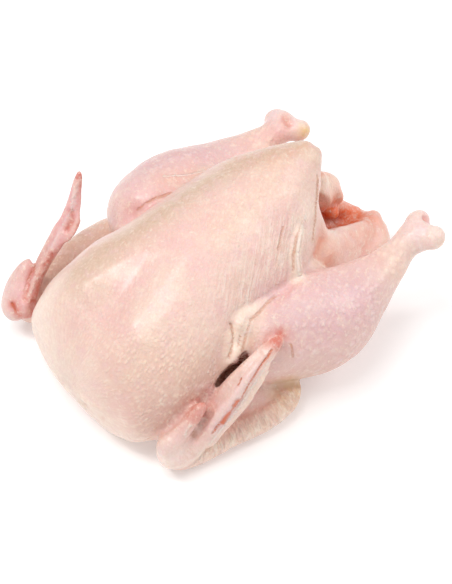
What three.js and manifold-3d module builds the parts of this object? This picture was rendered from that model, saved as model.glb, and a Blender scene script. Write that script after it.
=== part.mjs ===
// A whole raw chicken, ready for the oven, lying on its back. Millimetres, +Z up: the breast faces up, the
// neck end faces -Y and the tail +Y, so the bird's own right side is at +X. One closed solid. The model is
// built round the middle of the back and moved at the end so that the origin is the middle of its footprint,
// on the table.
import * as THREE from "three";
import { ParametricGeometry } from "three/addons/geometries/ParametricGeometry.js";
import { mergeVertices } from "three/addons/utils/BufferGeometryUtils.js";
import Module from "manifold-3d";

// Driving sizes of the trunk.
const BREAST_HALF_WIDTH = 57;
const BREAST_HEIGHT = 99; // table to the crest of the keel
const KEEL_LENGTH = 176; // front of the breast to the end of the keel
const KEEL_FRONT_Y = -96;
const TRUNK_LEAN = 5; // the front of the breast sags this far towards +X
const FRONT_DOME = 11; // length over which the trunk closes at its front
const REAR_DOME = 7;
const UNDERSIDE_POWER = 2.4; // squareness of the section below its widest line
const CLEFT_HALF_WIDTH = 14; // shallow valley between the two breast lobes at the front
const CLEFT_SET_BACK = 42; // how far the valley pushes the front back for a valley as deep as the section
const ABDOMEN_TUCK = 26; // the rear below the keel is drawn in this far
const ABDOMEN_START_Y = 30;
const ABDOMEN_END_Y = 85;
const ABDOMEN_TOP_Z = 92;
const ABDOMEN_FADE_Z = 54;
const FAR_SQUARENESS = 0.35; // towards the rear the bird's left side is squarer than its right by this power
const FAR_BREADTH = 0.2; // and broader by this share
const FAR_START = 0.45; // places along the keel between which that grows
const FAR_END = 0.95;

// Trunk sections: place along the keel, half width, crest, widest line and underside as shares of the driving
// sizes, then the squareness of the upper half and the depth of the valley between the lobes.
const TRUNK_SECTIONS = [
  [0.0, 0.52, 0.42, 0.26, 0.14, 2.0, 0.02],
  [0.035, 0.73, 0.57, 0.28, 0.08, 2.0, 0.05],
  [0.125, 0.93, 0.76, 0.31, 0.01, 1.9, 0.09],
  [0.25, 1.0, 0.88, 0.34, -0.02, 1.8, 0.07],
  [0.4, 0.98, 0.95, 0.36, -0.02, 1.75, 0.02],
  [0.575, 0.895, 0.99, 0.4, -0.02, 1.7, 0.0],
  [0.745, 0.755, 1.0, 0.42, -0.01, 1.65, 0.0],
  [0.875, 0.56, 1.0, 0.42, 0.01, 1.6, 0.0],
  [0.955, 0.37, 0.99, 0.44, 0.04, 1.6, 0.0],
  [1.0, 0.21, 0.97, 0.42, 0.08, 1.8, 0.0],
];

// Limbs: each row is a centre x, y, z, then the half width and half height of the section there.
const RIGHT_LEG = [
  [43, -24, 43, 12, 13],
  [46, -13, 42, 20, 22],
  [53, 12, 38, 26, 27],
  [58, 38, 37, 26, 26],
  [59, 61, 43, 17, 17],
  [58, 80, 49, 10, 10],
  [57, 92, 54, 8, 7],
  [58, 101, 58, 11, 8],
  [59, 109, 60, 12, 8],
];
const LEFT_LEG = [
  [-46, -19, 42, 13, 13],
  [-49, -9, 42, 21, 23],
  [-56, 14, 40, 27, 28],
  [-57, 40, 38, 25, 26],
  [-57, 64, 41, 17, 17],
  [-57, 84, 45, 10, 9],
  [-56, 94, 48, 8, 7],
  [-56, 102, 50, 11, 8],
  [-56, 109, 51, 12, 8],
];
const THIGH = [
  [20, 52, 34, 20, 22],
  [32, 34, 32, 24, 26],
  [42, 8, 34, 24, 24],
  [44, -12, 40, 16, 17],
];
const TAIL = [
  [2, 60, 20, 26, 16],
  [8, 84, 16, 22, 14],
  [14, 102, 15, 18, 11],
  [17, 117, 17, 11, 8],
];

// Ball ends of the leg bones where the feet were cut off: centre and radii.
const HOCK_KNOBS = [
  { centre: [66, 103, 60], radii: [6.5, 7.5, 6.5] },
  { centre: [52, 105, 60], radii: [6.5, 7.5, 6.5] },
  { centre: [-63, 102, 49], radii: [6.5, 7.5, 6.5] },
  { centre: [-48, 106, 49.5], radii: [6.5, 7, 6.5] },
];

// Wings: the tear is the loose strip of torn skin along the hand.
const RIGHT_WING = {
  upperArm: [
    [44, -48, 22, 15, 14],
    [56, -22, 16, 13, 12],
    [62, 0, 14, 12, 12],
  ],
  forearm: [
    [70, 8, 15, 8, 8],
    [69, -8, 11, 12, 9],
    [65, -40, 9, 13, 9],
    [62, -68, 12, 11, 11],
    [61, -78, 15, 9, 10],
  ],
  hand: [
    [63, -82, 17, 11, 10],
    [66.5, -68, 18, 8, 8],
    [67.5, -57, 25, 8, 7],
    [68.8, -46, 35, 8, 6.5],
    [70, -35, 46, 7, 6],
    [70.2, -25, 54, 5.4, 5],
    [69.5, -14, 59, 4.4, 4],
    [69, -6, 62, 3, 2.8],
    [69, -3, 63, 2, 2],
  ],
  tear: [
    [75, -59, 18, 2, 3],
    [75, -50, 26, 2.2, 2.6],
    [75.5, -40, 34, 2.4, 2.4],
    [75.5, -32, 42, 2.2, 2.2],
    [75, -24, 48, 1.8, 2],
    [74, -16, 54, 1.4, 1.6],
  ],
  thumb: [
    [64, -82, 22, 8, 8],
    [65, -73.5, 27, 6, 6],
    [65.5, -65, 33, 5, 5],
    [66, -58, 39.5, 4.2, 4],
    [66.5, -53, 44, 3.2, 3.2],
  ],
};
const LEFT_WING = {
  upperArm: [
    [-44, -48, 22, 15, 14],
    [-58, -22, 16, 13, 12],
    [-68, 0, 14, 12, 12],
  ],
  forearm: [
    [-74, 4, 19, 8, 9],
    [-74, -14, 17, 13, 10],
    [-72, -42, 15, 13, 10],
    [-66, -66, 14, 12, 12],
    [-61, -82, 13, 11, 12],
  ],
  hand: [
    [-60, -84, 16, 12, 11],
    [-61, -74, 29, 5.4, 6.5],
    [-64, -64, 38, 3.9, 5],
    [-65.4, -56, 45.5, 4.8, 4.5],
    [-65.2, -49, 54, 6.4, 4],
    [-65, -43, 62, 5.5, 3.6],
    [-66.5, -38, 70, 4.4, 3.4],
    [-68, -34.5, 77, 3.2, 3],
    [-69.3, -31.5, 83.5, 2.2, 2.2],
    [-70, -29.5, 88, 1.5, 1.5],
  ],
  tear: [
    [-65.2, -32, 78, 1, 1.2],
    [-63.4, -35, 73, 1.4, 1.4],
    [-62, -37, 69, 1.6, 1.6],
    [-59.5, -41, 63, 2.4, 2.2],
    [-59, -46, 57, 2.6, 2.2],
    [-60, -51, 51, 2.4, 2],
  ],
  thumb: [
    [-61, -86, 13, 8.5, 9],
    [-69, -75, 32, 5.8, 5.4],
    [-70.5, -66, 42, 2.6, 2.6],
  ],
};

// The narrow gap between the flank and the right wing's hand.
const ARMPIT = [
  [57, -18.4, 49, 1.8, 12],
  [59.4, -23, 46.8, 3.6, 15],
  [60.2, -29.3, 44.2, 4.3, 16],
  [60.6, -36.4, 42, 3.5, 14],
  [61.4, -43.1, 39, 1.7, 11],
  [62, -48.3, 37, 0.9, 8],
];
const ARMPIT_UPRIGHT = [0.5, -0.4, 0.77]; // the gap opens this way

// Loose skin: rolls, webs and flaps, rows as for the limbs.
const FLANK_ROLL = [
  [45, 6, 62, 4, 4],
  [50, -8, 61, 6, 5],
  [54, -19, 56, 6, 5],
  [57, -26, 46, 5, 5],
  [57, -28, 38, 4, 4],
];
const FLANK_ROLL_FRONT = [
  [46, -14, 64, 4, 4],
  [51, -24, 59, 5, 4],
  [55, -31, 50, 5, 4],
  [58, -35, 40, 4, 4],
];
const FLANK_LOBE = [
  [45, -7, 66, 3, 3],
  [47, -12, 64.5, 4.4, 4],
  [50, -17.5, 63.5, 4.8, 4.2],
  [53, -20.8, 62, 3.6, 3.6],
];
const FLANK_NARROW_FOLD = [
  [55, -20.2, 60.4, 1.5, 2],
  [56.2, -22, 58.6, 1.7, 2.2],
  [57.6, -23.2, 56.6, 1.7, 2.2],
  [58.8, -24, 55, 1.4, 2],
];
const FLANK_HANGING_FOLD = [
  [55, -24, 59.5, 2.2, 3],
  [57, -26, 56.6, 3, 3.4],
  [58.4, -28.4, 53.6, 3.4, 3.6],
  [59, -30.8, 50.6, 2.6, 3],
];
const FLANK_RIDGE = [
  [28, 41, 78, 2, 3],
  [35, 32, 71, 2.4, 3.5],
  [41, 27, 62, 3, 4],
  [44, 24, 56, 4, 4],
];
const THIGH_WEB = [
  [-50, 6, 60, 8, 3],
  [-46, 20, 63, 10, 3],
  [-40, 33, 64, 10, 3],
  [-33, 46, 63, 8, 3],
];
const KEEL_FOLD = [
  [0, 73, 97, 1.6, 2],
  [2, 75, 92, 2, 2.4],
  [4, 73.5, 87, 2, 2.4],
  [8, 69, 81, 1.6, 2],
];
const VENT_NEAR_EDGE = [
  [10, 62, 78, 4, 5],
  [14, 60, 68, 6, 6],
  [18, 59, 57, 7, 8],
  [21, 60, 45, 8, 10],
];
const VENT_NEAR_FLAP = [
  [24, 46, 46, 9, 19],
  [25, 58, 38, 9.5, 18],
  [22, 76, 29, 9, 16],
  [19, 90, 23, 8.5, 13.5],
  [15, 104, 17, 7.5, 10.5],
  [9, 117, 15, 6, 7],
];
const VENT_NEAR_CURL = [
  [17, 103, 21, 5, 5],
  [14, 109, 22, 5, 4.5],
  [10, 113, 20, 5, 4.5],
  [7, 114, 14, 4, 4],
];
const VENT_FAR_WALL = [
  [-16, 50, 43, 7, 18],
  [-16, 60, 40, 7, 18],
  [-13, 76, 32, 6, 18],
  [-10, 90, 24, 5, 14],
  [-6, 102, 18, 5, 9],
];
const VENT_FAR_FLAP = [
  [-3, 62, 65, 6, 7],
  [-4, 71, 63, 5, 6],
  [-4, 82, 58, 7, 7],
  [-3, 88, 51, 8, 7],
  [-2, 89, 42, 7, 6],
  [-2, 91, 31, 6, 6],
];
const VENT_FAR_FOLDS = [
  [
    [-1, 79, 60, 4, 4],
    [0, 80, 52, 5, 4.5],
    [0, 81, 45, 4.5, 4.5],
    [1, 83, 39, 3.5, 4],
  ],
  [
    [3, 74, 66, 2, 2],
    [4, 80, 59, 2.6, 2.6],
    [4, 83, 51, 2.4, 2.4],
    [4, 84, 44, 2, 2],
  ],
  [
    [0, 86, 60, 2, 2],
    [2, 91, 52, 2.6, 2.4],
    [3, 93, 45, 2.4, 2.4],
    [2, 93, 38, 2, 2],
  ],
];
const VENT_FAR_TOP = { centre: [-2, 80, 64], radii: [6, 5.5, 5] };
const VENT_FAR_RIM = [
  [-5, 88, 40, 5, 6],
  [-5, 100, 25, 5, 6],
  [-1, 108, 17, 5, 5],
  [6, 115, 13, 5, 4],
  [10, 119, 14, 5, 4],
];
const VENT_LUMP = [
  [3, 85, 41, 4, 4],
  [3, 87, 37, 4.6, 5],
  [3, 88, 33, 4, 4],
];
const NECK_SKIN = [
  [-20, -72, 11, 11, 7],
  [2, -78, 10, 11, 7],
  [22, -75, 9, 11, 7],
  [40, -66, 9, 10, 7],
];

// The opened belly between keel and tail: its mouth is at the first row, its blind end at the last.
const BELLY_HOLLOW = [
  [4, 112, 25, 6, 6],
  [4, 98, 31, 9, 11],
  [3, 82, 39, 12, 16],
  [1, 66, 43, 13, 16],
  [0, 52, 44, 12, 14],
];

const SKIN_COLOUR = 0xf2d3c4;
const SKIN_ROUGHNESS = 0.45;
const WELD_DISTANCE = 1e-4; // vertices closer than this are one
const FLOOR_SLAB = 400; // side of the block that cuts the resting spot flat
const FINENESS = 0.73; // share of each surface's steps that is kept
const KNOB_STEPS = 12;
const PATH_STEP = 0.01; // share of a path over which its direction is taken
const ACROSS = [1, 0, 0];
const ROLL_SHAPE = { around: 10, along: 14, startDome: 0.25, endDome: 0.25, upright: [0, 1, 0] };
const FURROW_HALF_ANGLE = 0.45; // radians from the top of a limb to the edge of its furrow

const wasm = await Module();
wasm.setup();

/** A geometry's triangles as a solid, with its duplicate vertices welded and its faces turned outwards. */
function solidOf(geometry) {
  const bare = geometry.clone();
  bare.deleteAttribute("normal");
  bare.deleteAttribute("uv");
  const welded = mergeVertices(bare, WELD_DISTANCE);
  const triVerts = new Uint32Array(welded.index.array);
  const made = solidFrom(welded.attributes.position.array, triVerts);
  return made.volume() < 0 ? solidFrom(welded.attributes.position.array, triVerts.reverse()) : made;
}

function steps(count) {
  return Math.round(count * FINENESS);
}

function solidFrom(vertProperties, triVerts) {
  return new wasm.Manifold(new wasm.Mesh({ numProp: 3, vertProperties, triVerts }));
}

/** A solid's triangles as a geometry with smooth normals. */
function geometryOf(solid) {
  const mesh = solid.getMesh();
  const geometry = new THREE.BufferGeometry();
  geometry.setAttribute("position", new THREE.BufferAttribute(mesh.vertProperties, 3));
  geometry.setIndex(new THREE.BufferAttribute(mesh.triVerts, 1));
  geometry.computeVertexNormals();
  return geometry;
}

/** Smooth values through rows at the given places: cubic, with slopes from each row's neighbours. */
function smoothRows(places, rows) {
  const last = rows.length - 1;
  const slopes = rows.map((row, i) => {
    const before = Math.max(i - 1, 0);
    const after = Math.min(i + 1, last);
    return row.map((value, k) => {
      if (i === 0 || i === last) {
        return (rows[after][k] - rows[before][k]) / (places[after] - places[before]);
      }
      const back = places[i] - places[i - 1];
      const on = places[i + 1] - places[i];
      const rise = back * back * (rows[i + 1][k] - value) + on * on * (value - rows[i - 1][k]);
      return rise / (back * on * (back + on));
    });
  });
  return (place) => {
    const at = THREE.MathUtils.clamp(place, places[0], places[last]);
    let i = 0;
    while (i < last - 1 && at > places[i + 1]) i += 1;
    const span = places[i + 1] - places[i];
    const u = (at - places[i]) / span;
    const start = 2 * u ** 3 - 3 * u ** 2 + 1;
    const end = 1 - start;
    const startSlope = (u ** 3 - 2 * u ** 2 + u) * span;
    const endSlope = (u ** 3 - u ** 2) * span;
    return rows[i].map(
      (value, k) =>
        value * start + rows[i + 1][k] * end + slopes[i][k] * startSlope + slopes[i + 1][k] * endSlope,
    );
  };
}

/** How much of the full section is left at a distance from a domed end: 0 at the end, 1 past the dome. */
function dome(distance, length) {
  const share = THREE.MathUtils.clamp(distance / length, 0, 1);
  return Math.sqrt(1 - (1 - share) ** 2);
}

function signedPower(value, power) {
  return Math.sign(value) * Math.abs(value) ** power;
}

/** The trunk: sections across the keel, each two half superellipses above and below its widest line. */
function trunk(around, along) {
  const sizeAt = smoothRows(
    TRUNK_SECTIONS.map((row) => row[0]),
    TRUNK_SECTIONS.map((row) => row.slice(1)),
  );
  const surface = (u, v, target) => {
    const y = KEEL_FRONT_Y + KEEL_LENGTH * v;
    const [width, crest, widest, under, power, cleft] = sizeAt(v);
    const shrink = dome(KEEL_LENGTH * v, FRONT_DOME) * dome(KEEL_LENGTH * (1 - v), REAR_DOME);
    const angle = 2 * Math.PI * (u % 1);
    const across = Math.cos(angle);
    const up = Math.sin(angle);
    const fuller = across < 0 ? THREE.MathUtils.smoothstep(v, FAR_START, FAR_END) : 0;
    const squareness = up >= 0 ? power + FAR_SQUARENESS * fuller : UNDERSIDE_POWER;
    const reach = up >= 0 ? crest - widest : widest - under;
    const halfWidth = BREAST_HALF_WIDTH * width * (1 + FAR_BREADTH * fuller) * shrink;
    const x = halfWidth * signedPower(across, 2 / squareness);
    const rise = BREAST_HEIGHT * reach * shrink * signedPower(up, 2 / squareness);
    const valley = shrink * cleft * Math.exp(-((x / CLEFT_HALF_WIDTH) ** 2)) * Math.max(up, 0);
    const z = BREAST_HEIGHT * (widest - (crest - under) * valley) + rise;
    const rearShare = THREE.MathUtils.clamp((y - ABDOMEN_START_Y) / (ABDOMEN_END_Y - ABDOMEN_START_Y), 0, 1);
    const lowShare = THREE.MathUtils.clamp((ABDOMEN_TOP_Z - z) / ABDOMEN_FADE_Z, 0, 1);
    const lean = TRUNK_LEAN * (1 - THREE.MathUtils.smoothstep(v, 0.3, 0.9));
    target.set(x + lean, y + CLEFT_SET_BACK * valley - ABDOMEN_TUCK * rearShare * lowShare, z);
  };
  return solidOf(new ParametricGeometry(surface, steps(around), steps(along)));
}

/** A limb: elliptical sections along a smooth path through its rows, closed by a dome at each end. */
function limb(rows, options = {}) {
  const { around = 16, along = 18, startDome = 0.15, endDome = 0.12 } = options;
  const { upright = [0, 0, 1], furrow = 0 } = options;
  const places = [0];
  for (let i = 1; i < rows.length; i += 1) {
    places.push(places[i - 1] + centreOf(rows[i]).distanceTo(centreOf(rows[i - 1])));
  }
  const rowAt = smoothRows(
    places.map((place) => place / places.at(-1)),
    rows,
  );
  const upAxis = new THREE.Vector3(...upright);
  const surface = (u, v, target) => {
    const [, , , halfWidth, halfHeight] = rowAt(v);
    const forward = centreOf(rowAt(v + PATH_STEP)).sub(centreOf(rowAt(v - PATH_STEP))).normalize();
    const side = forward.clone().cross(upAxis).normalize();
    const top = side.clone().cross(forward);
    const shrink = dome(v, startDome) * dome(1 - v, endDome);
    const angle = 2 * Math.PI * (u % 1);
    const offTop = (angle - Math.PI / 2) / FURROW_HALF_ANGLE;
    const radius = shrink * (1 - furrow * Math.exp(-(offTop ** 2)) * Math.sin(Math.PI * v));
    target
      .copy(centreOf(rowAt(v)))
      .addScaledVector(side, halfWidth * radius * Math.cos(angle))
      .addScaledVector(top, halfHeight * radius * Math.sin(angle));
  };
  return solidOf(new ParametricGeometry(surface, steps(around), steps(along)));
}

function centreOf([x, y, z]) {
  return new THREE.Vector3(x, y, z);
}

/** The rounded end of a bone under its skin. */
function knob({ centre, radii }) {
  const geometry = new THREE.SphereGeometry(1, KNOB_STEPS, KNOB_STEPS / 2);
  geometry.scale(...radii).translate(...centre);
  return solidOf(geometry);
}

/** Mirrored rows, for the other side of the bird. */
function mirrored(rows) {
  return rows.map(([x, ...rest]) => [-x, ...rest]);
}

function union(solids) {
  return solids.reduce((joined, solid) => joined.add(solid));
}

function arm({ upperArm, forearm }) {
  return union([
    limb(upperArm, { around: 12, along: 10, startDome: 0.25, endDome: 0.3 }),
    limb(forearm, { around: 16, along: 20 }),
  ]);
}

function hand({ hand: palm, tear, thumb }) {
  return union([
    limb(palm, { around: 18, along: 24, startDome: 0.12, endDome: 0.05, furrow: 0.35 }),
    limb(tear, { around: 8, along: 12, startDome: 0.2, endDome: 0.3 }),
    limb(thumb, { around: 10, along: 10, startDome: 0.3, endDome: 0.15 }),
  ]);
}

function legs() {
  const shape = { around: 30, along: 28, startDome: 0.1, endDome: 0.05 };
  const thigh = { around: 18, along: 14, startDome: 0.3, endDome: 0.2 };
  return union([
    limb(RIGHT_LEG, shape),
    limb(LEFT_LEG, shape),
    limb(THIGH, thigh),
    limb(mirrored(THIGH), thigh),
    ...HOCK_KNOBS.map(knob),
  ]);
}

function looseSkin() {
  const fold = { around: 8, along: 10, startDome: 0.3, endDome: 0.3 };
  return union([
    limb(FLANK_ROLL, ROLL_SHAPE),
    limb(FLANK_ROLL_FRONT, ROLL_SHAPE),
    limb(FLANK_LOBE, ROLL_SHAPE),
    limb(FLANK_NARROW_FOLD, ROLL_SHAPE),
    limb(FLANK_RIDGE, ROLL_SHAPE),
    limb(THIGH_WEB, { around: 10, along: 12, startDome: 0.2, endDome: 0.2 }),
    limb(KEEL_FOLD, { ...fold, upright: ACROSS }),
    limb(NECK_SKIN, { around: 12, along: 14, startDome: 0.25, endDome: 0.25 }),
  ]);
}

function ventFlaps() {
  const flap = { around: 12, along: 14, startDome: 0.2, endDome: 0.15 };
  const fold = { around: 8, along: 10, startDome: 0.3, endDome: 0.3, upright: ACROSS };
  return union([
    limb(VENT_NEAR_EDGE, { ...fold, around: 12 }),
    limb(VENT_NEAR_FLAP, flap),
    limb(VENT_NEAR_CURL, { ...flap, around: 10, along: 10 }),
    limb(VENT_FAR_WALL, flap),
    limb(VENT_FAR_FLAP, { ...flap, upright: ACROSS }),
    limb(VENT_FAR_RIM, { ...flap, upright: ACROSS }),
    limb(VENT_LUMP, { around: 10, along: 8, startDome: 0.4, endDome: 0.4, upright: ACROSS }),
    knob(VENT_FAR_TOP),
    ...VENT_FAR_FOLDS.map((rows) => limb(rows, fold)),
  ]);
}

/** Everything below the table, as a slab whose top face is at z = 0. */
function belowTable() {
  const slab = new THREE.BoxGeometry(FLOOR_SLAB, FLOOR_SLAB, FLOOR_SLAB);
  slab.translate(0, 0, -FLOOR_SLAB / 2);
  return solidOf(slab);
}

const rear = union([trunk(44, 44), limb(TAIL, { around: 20, along: 14, startDome: 0.25 })]);
const hollow = limb(BELLY_HOLLOW, { around: 20, along: 18, startDome: 0.2, endDome: 0.25 });
const body = union([
  rear.subtract(hollow),
  legs(),
  arm(RIGHT_WING),
  arm(LEFT_WING),
  hand(LEFT_WING),
  looseSkin(),
  ventFlaps(),
]);
const armpit = limb(ARMPIT, { around: 12, along: 14, startDome: 0.3, endDome: 0.3, upright: ARMPIT_UPRIGHT });
const bird = union([body.subtract(armpit), hand(RIGHT_WING), limb(FLANK_HANGING_FOLD, ROLL_SHAPE)]);
const skin = geometryOf(bird.subtract(belowTable()));

skin.computeBoundingBox();
const middle = skin.boundingBox.getCenter(new THREE.Vector3());
skin.translate(-middle.x, -middle.y, 0);

const chicken = new THREE.Mesh(
  skin,
  new THREE.MeshStandardMaterial({ color: SKIN_COLOUR, roughness: SKIN_ROUGHNESS, metalness: 0 }),
);
chicken.name = "chicken";

const model = new THREE.Group();
model.add(chicken);

export default model;
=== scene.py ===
"""A whole raw chicken lying on its back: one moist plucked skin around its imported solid, on a pale floor.

Sizes are millimetres from the middle of the back: +X is the bird's own right side, -Y its neck end and
+Z its breast. They become metres of the row frame, whose origin is the middle of the footprint, when a
mesh is made.
"""

import logging
import math
from dataclasses import dataclass, field, fields
from enum import Enum
from typing import Any, Sequence

import bpy
import numpy as np
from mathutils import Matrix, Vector

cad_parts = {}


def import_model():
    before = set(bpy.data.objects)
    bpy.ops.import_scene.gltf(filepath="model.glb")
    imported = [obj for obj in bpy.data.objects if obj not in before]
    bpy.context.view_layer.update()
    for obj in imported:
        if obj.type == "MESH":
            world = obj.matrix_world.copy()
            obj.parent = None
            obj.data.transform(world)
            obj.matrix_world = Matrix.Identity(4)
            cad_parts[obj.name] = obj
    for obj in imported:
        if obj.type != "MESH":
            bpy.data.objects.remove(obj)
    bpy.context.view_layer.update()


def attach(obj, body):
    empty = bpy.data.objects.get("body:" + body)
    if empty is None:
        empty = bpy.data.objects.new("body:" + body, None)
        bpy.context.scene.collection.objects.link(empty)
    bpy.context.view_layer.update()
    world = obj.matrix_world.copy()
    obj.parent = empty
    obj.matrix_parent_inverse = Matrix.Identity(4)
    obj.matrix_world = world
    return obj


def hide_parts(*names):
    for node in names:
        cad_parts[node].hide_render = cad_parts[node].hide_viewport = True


LOG = logging.getLogger("chicken")
MM = 0.001
FOOTPRINT_MIDDLE = np.array((-1.7777, 11.5, 0.0))
Rows = tuple[tuple[float, ...], ...]
Point = tuple[float, float, float]
Colour = tuple[float, float, float]
Span = tuple[float, float]
Options = dict[str, Any]
Array = np.ndarray
TINY = 1e-6
UP: Point = (0.0, 0.0, 1.0)
TAILWARD: Point = (0.0, 1.0, 0.0)
SIDEWAYS: Point = (1.0, 0.0, 0.0)
GAP_UPRIGHT: Point = (0.5, -0.4, 0.77)


def smoothstep(low: float, high: float, value: Array) -> Array:
    """Rise smoothly from 0 at low to 1 at high: 3t^2 - 2t^3 of the clamped share t.

    Args:
        low: value where the rise starts; above high for a fall.
        high: value where the rise ends.
        value: any array.

    Returns:
        An array of the same shape, from 0 to 1.
    """
    share = np.clip((value - low) / (high - low), 0, 1)
    return share * share * (3 - 2 * share)


def dome(distance: Array, length: float) -> Array:
    """Share of the full section at a distance from a domed end: a quarter circle over the given length.

    Args:
        distance: distances from the end.
        length: length over which the dome opens.

    Returns:
        Shares from 0 at the end to 1 past the dome.
    """
    share = np.clip(distance / length, 0, 1)
    return np.sqrt(1 - (1 - share) ** 2)


def signed_power(value: Array, power: Array | float) -> Array:
    """The power of the size of a value, with the value's own sign."""
    return np.sign(value) * np.abs(value) ** power


@dataclass(frozen=True)
class SmoothRows:
    """Smooth values through rows at rising places: cubics whose slopes come from each row's neighbours."""

    places: Array
    rows: Array

    def at(self, place: Array) -> Array:
        """Hermite cubic of the two rows about each place and of their slopes.

        Args:
            place: places along the rows.

        Returns:
            One row of values for each place.
        """
        slopes = np.gradient(self.rows, self.places, axis=0)
        place = np.clip(place, self.places[0], self.places[-1])
        before = np.clip(np.searchsorted(self.places, place, side="right") - 1, 0, len(self.places) - 2)
        span = (self.places[before + 1] - self.places[before])[:, None]
        share = (place - self.places[before])[:, None] / span
        start = 2 * share**3 - 3 * share**2 + 1
        start_slope = (share**3 - 2 * share**2 + share) * span
        end_slope = (share**3 - share**2) * span
        return (
            self.rows[before] * start
            + self.rows[before + 1] * (1 - start)
            + slopes[before] * start_slope
            + slopes[before + 1] * end_slope
        )


@dataclass
class Shell:
    """A closed surface of points and faces."""

    points: Array
    quads: Array
    triangles: Array

    @staticmethod
    def from_grid(grid: Array) -> "Shell":
        """Close a grid of rings whose first and last rings have shrunk to one point each.

        Args:
            grid: points by ring, by place round the ring.

        Returns:
            A shell with a quad for each cell and a fan at each pole, its faces turned outwards.
        """
        rings = grid.shape[0] - 2
        around = grid.shape[1]
        points = np.vstack([grid[1:-1].reshape(-1, 3), grid[[0, -1], 0]])
        here = np.arange(around)
        beside = np.roll(here, -1)
        start = np.arange(rings - 1)[:, None] * around
        quads = np.stack([start + here, start + beside, start + around + beside, start + around + here], -1)
        first_pole = rings * around
        last_pole = first_pole + 1
        last_ring = first_pole - around
        first_fan = np.stack([np.full(around, first_pole), beside, here], -1)
        last_fan = np.stack([np.full(around, last_pole), last_ring + here, last_ring + beside], -1)
        shell = Shell(points, quads.reshape(-1, 4), np.vstack([first_fan, last_fan]))
        return shell if shell.volume() > 0 else shell.turned()

    def halves(self) -> Array:
        """Every face as triangles."""
        return np.vstack([self.quads[:, :3], self.quads[:, [0, 2, 3]], self.triangles])

    def volume(self) -> float:
        """Signed volume: a sixth of the sum of each triangle's triple product."""
        first, second, third = (self.points[self.halves()[:, corner]] for corner in range(3))
        return float((first * np.cross(second, third)).sum() / 6)

    def turned(self) -> "Shell":
        """The same shell with its faces turned round."""
        return Shell(self.points, self.quads[:, ::-1], self.triangles[:, ::-1])


def joined(shells: list[Shell]) -> Shell:
    """Put several shells into one.

    Args:
        shells: closed shells, which may overlap.

    Returns:
        One shell that holds them all.
    """
    starts = np.cumsum([0] + [len(shell.points) for shell in shells[:-1]])
    return Shell(
        np.vstack([shell.points for shell in shells]),
        np.vstack([shell.quads + start for shell, start in zip(shells, starts)]),
        np.vstack([shell.triangles + start for shell, start in zip(shells, starts)]),
    )


@dataclass
class Nearness:
    """How points lie to one form, in millimetres: clearance off its surface, length along and round it."""

    clearance: Array
    along: Array
    round: Array

    def cover(self, inner: float, outer: float) -> Array:
        """1 on the form, falling smoothly to 0 between the two clearances."""
        return smoothstep(outer, inner, self.clearance)


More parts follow.
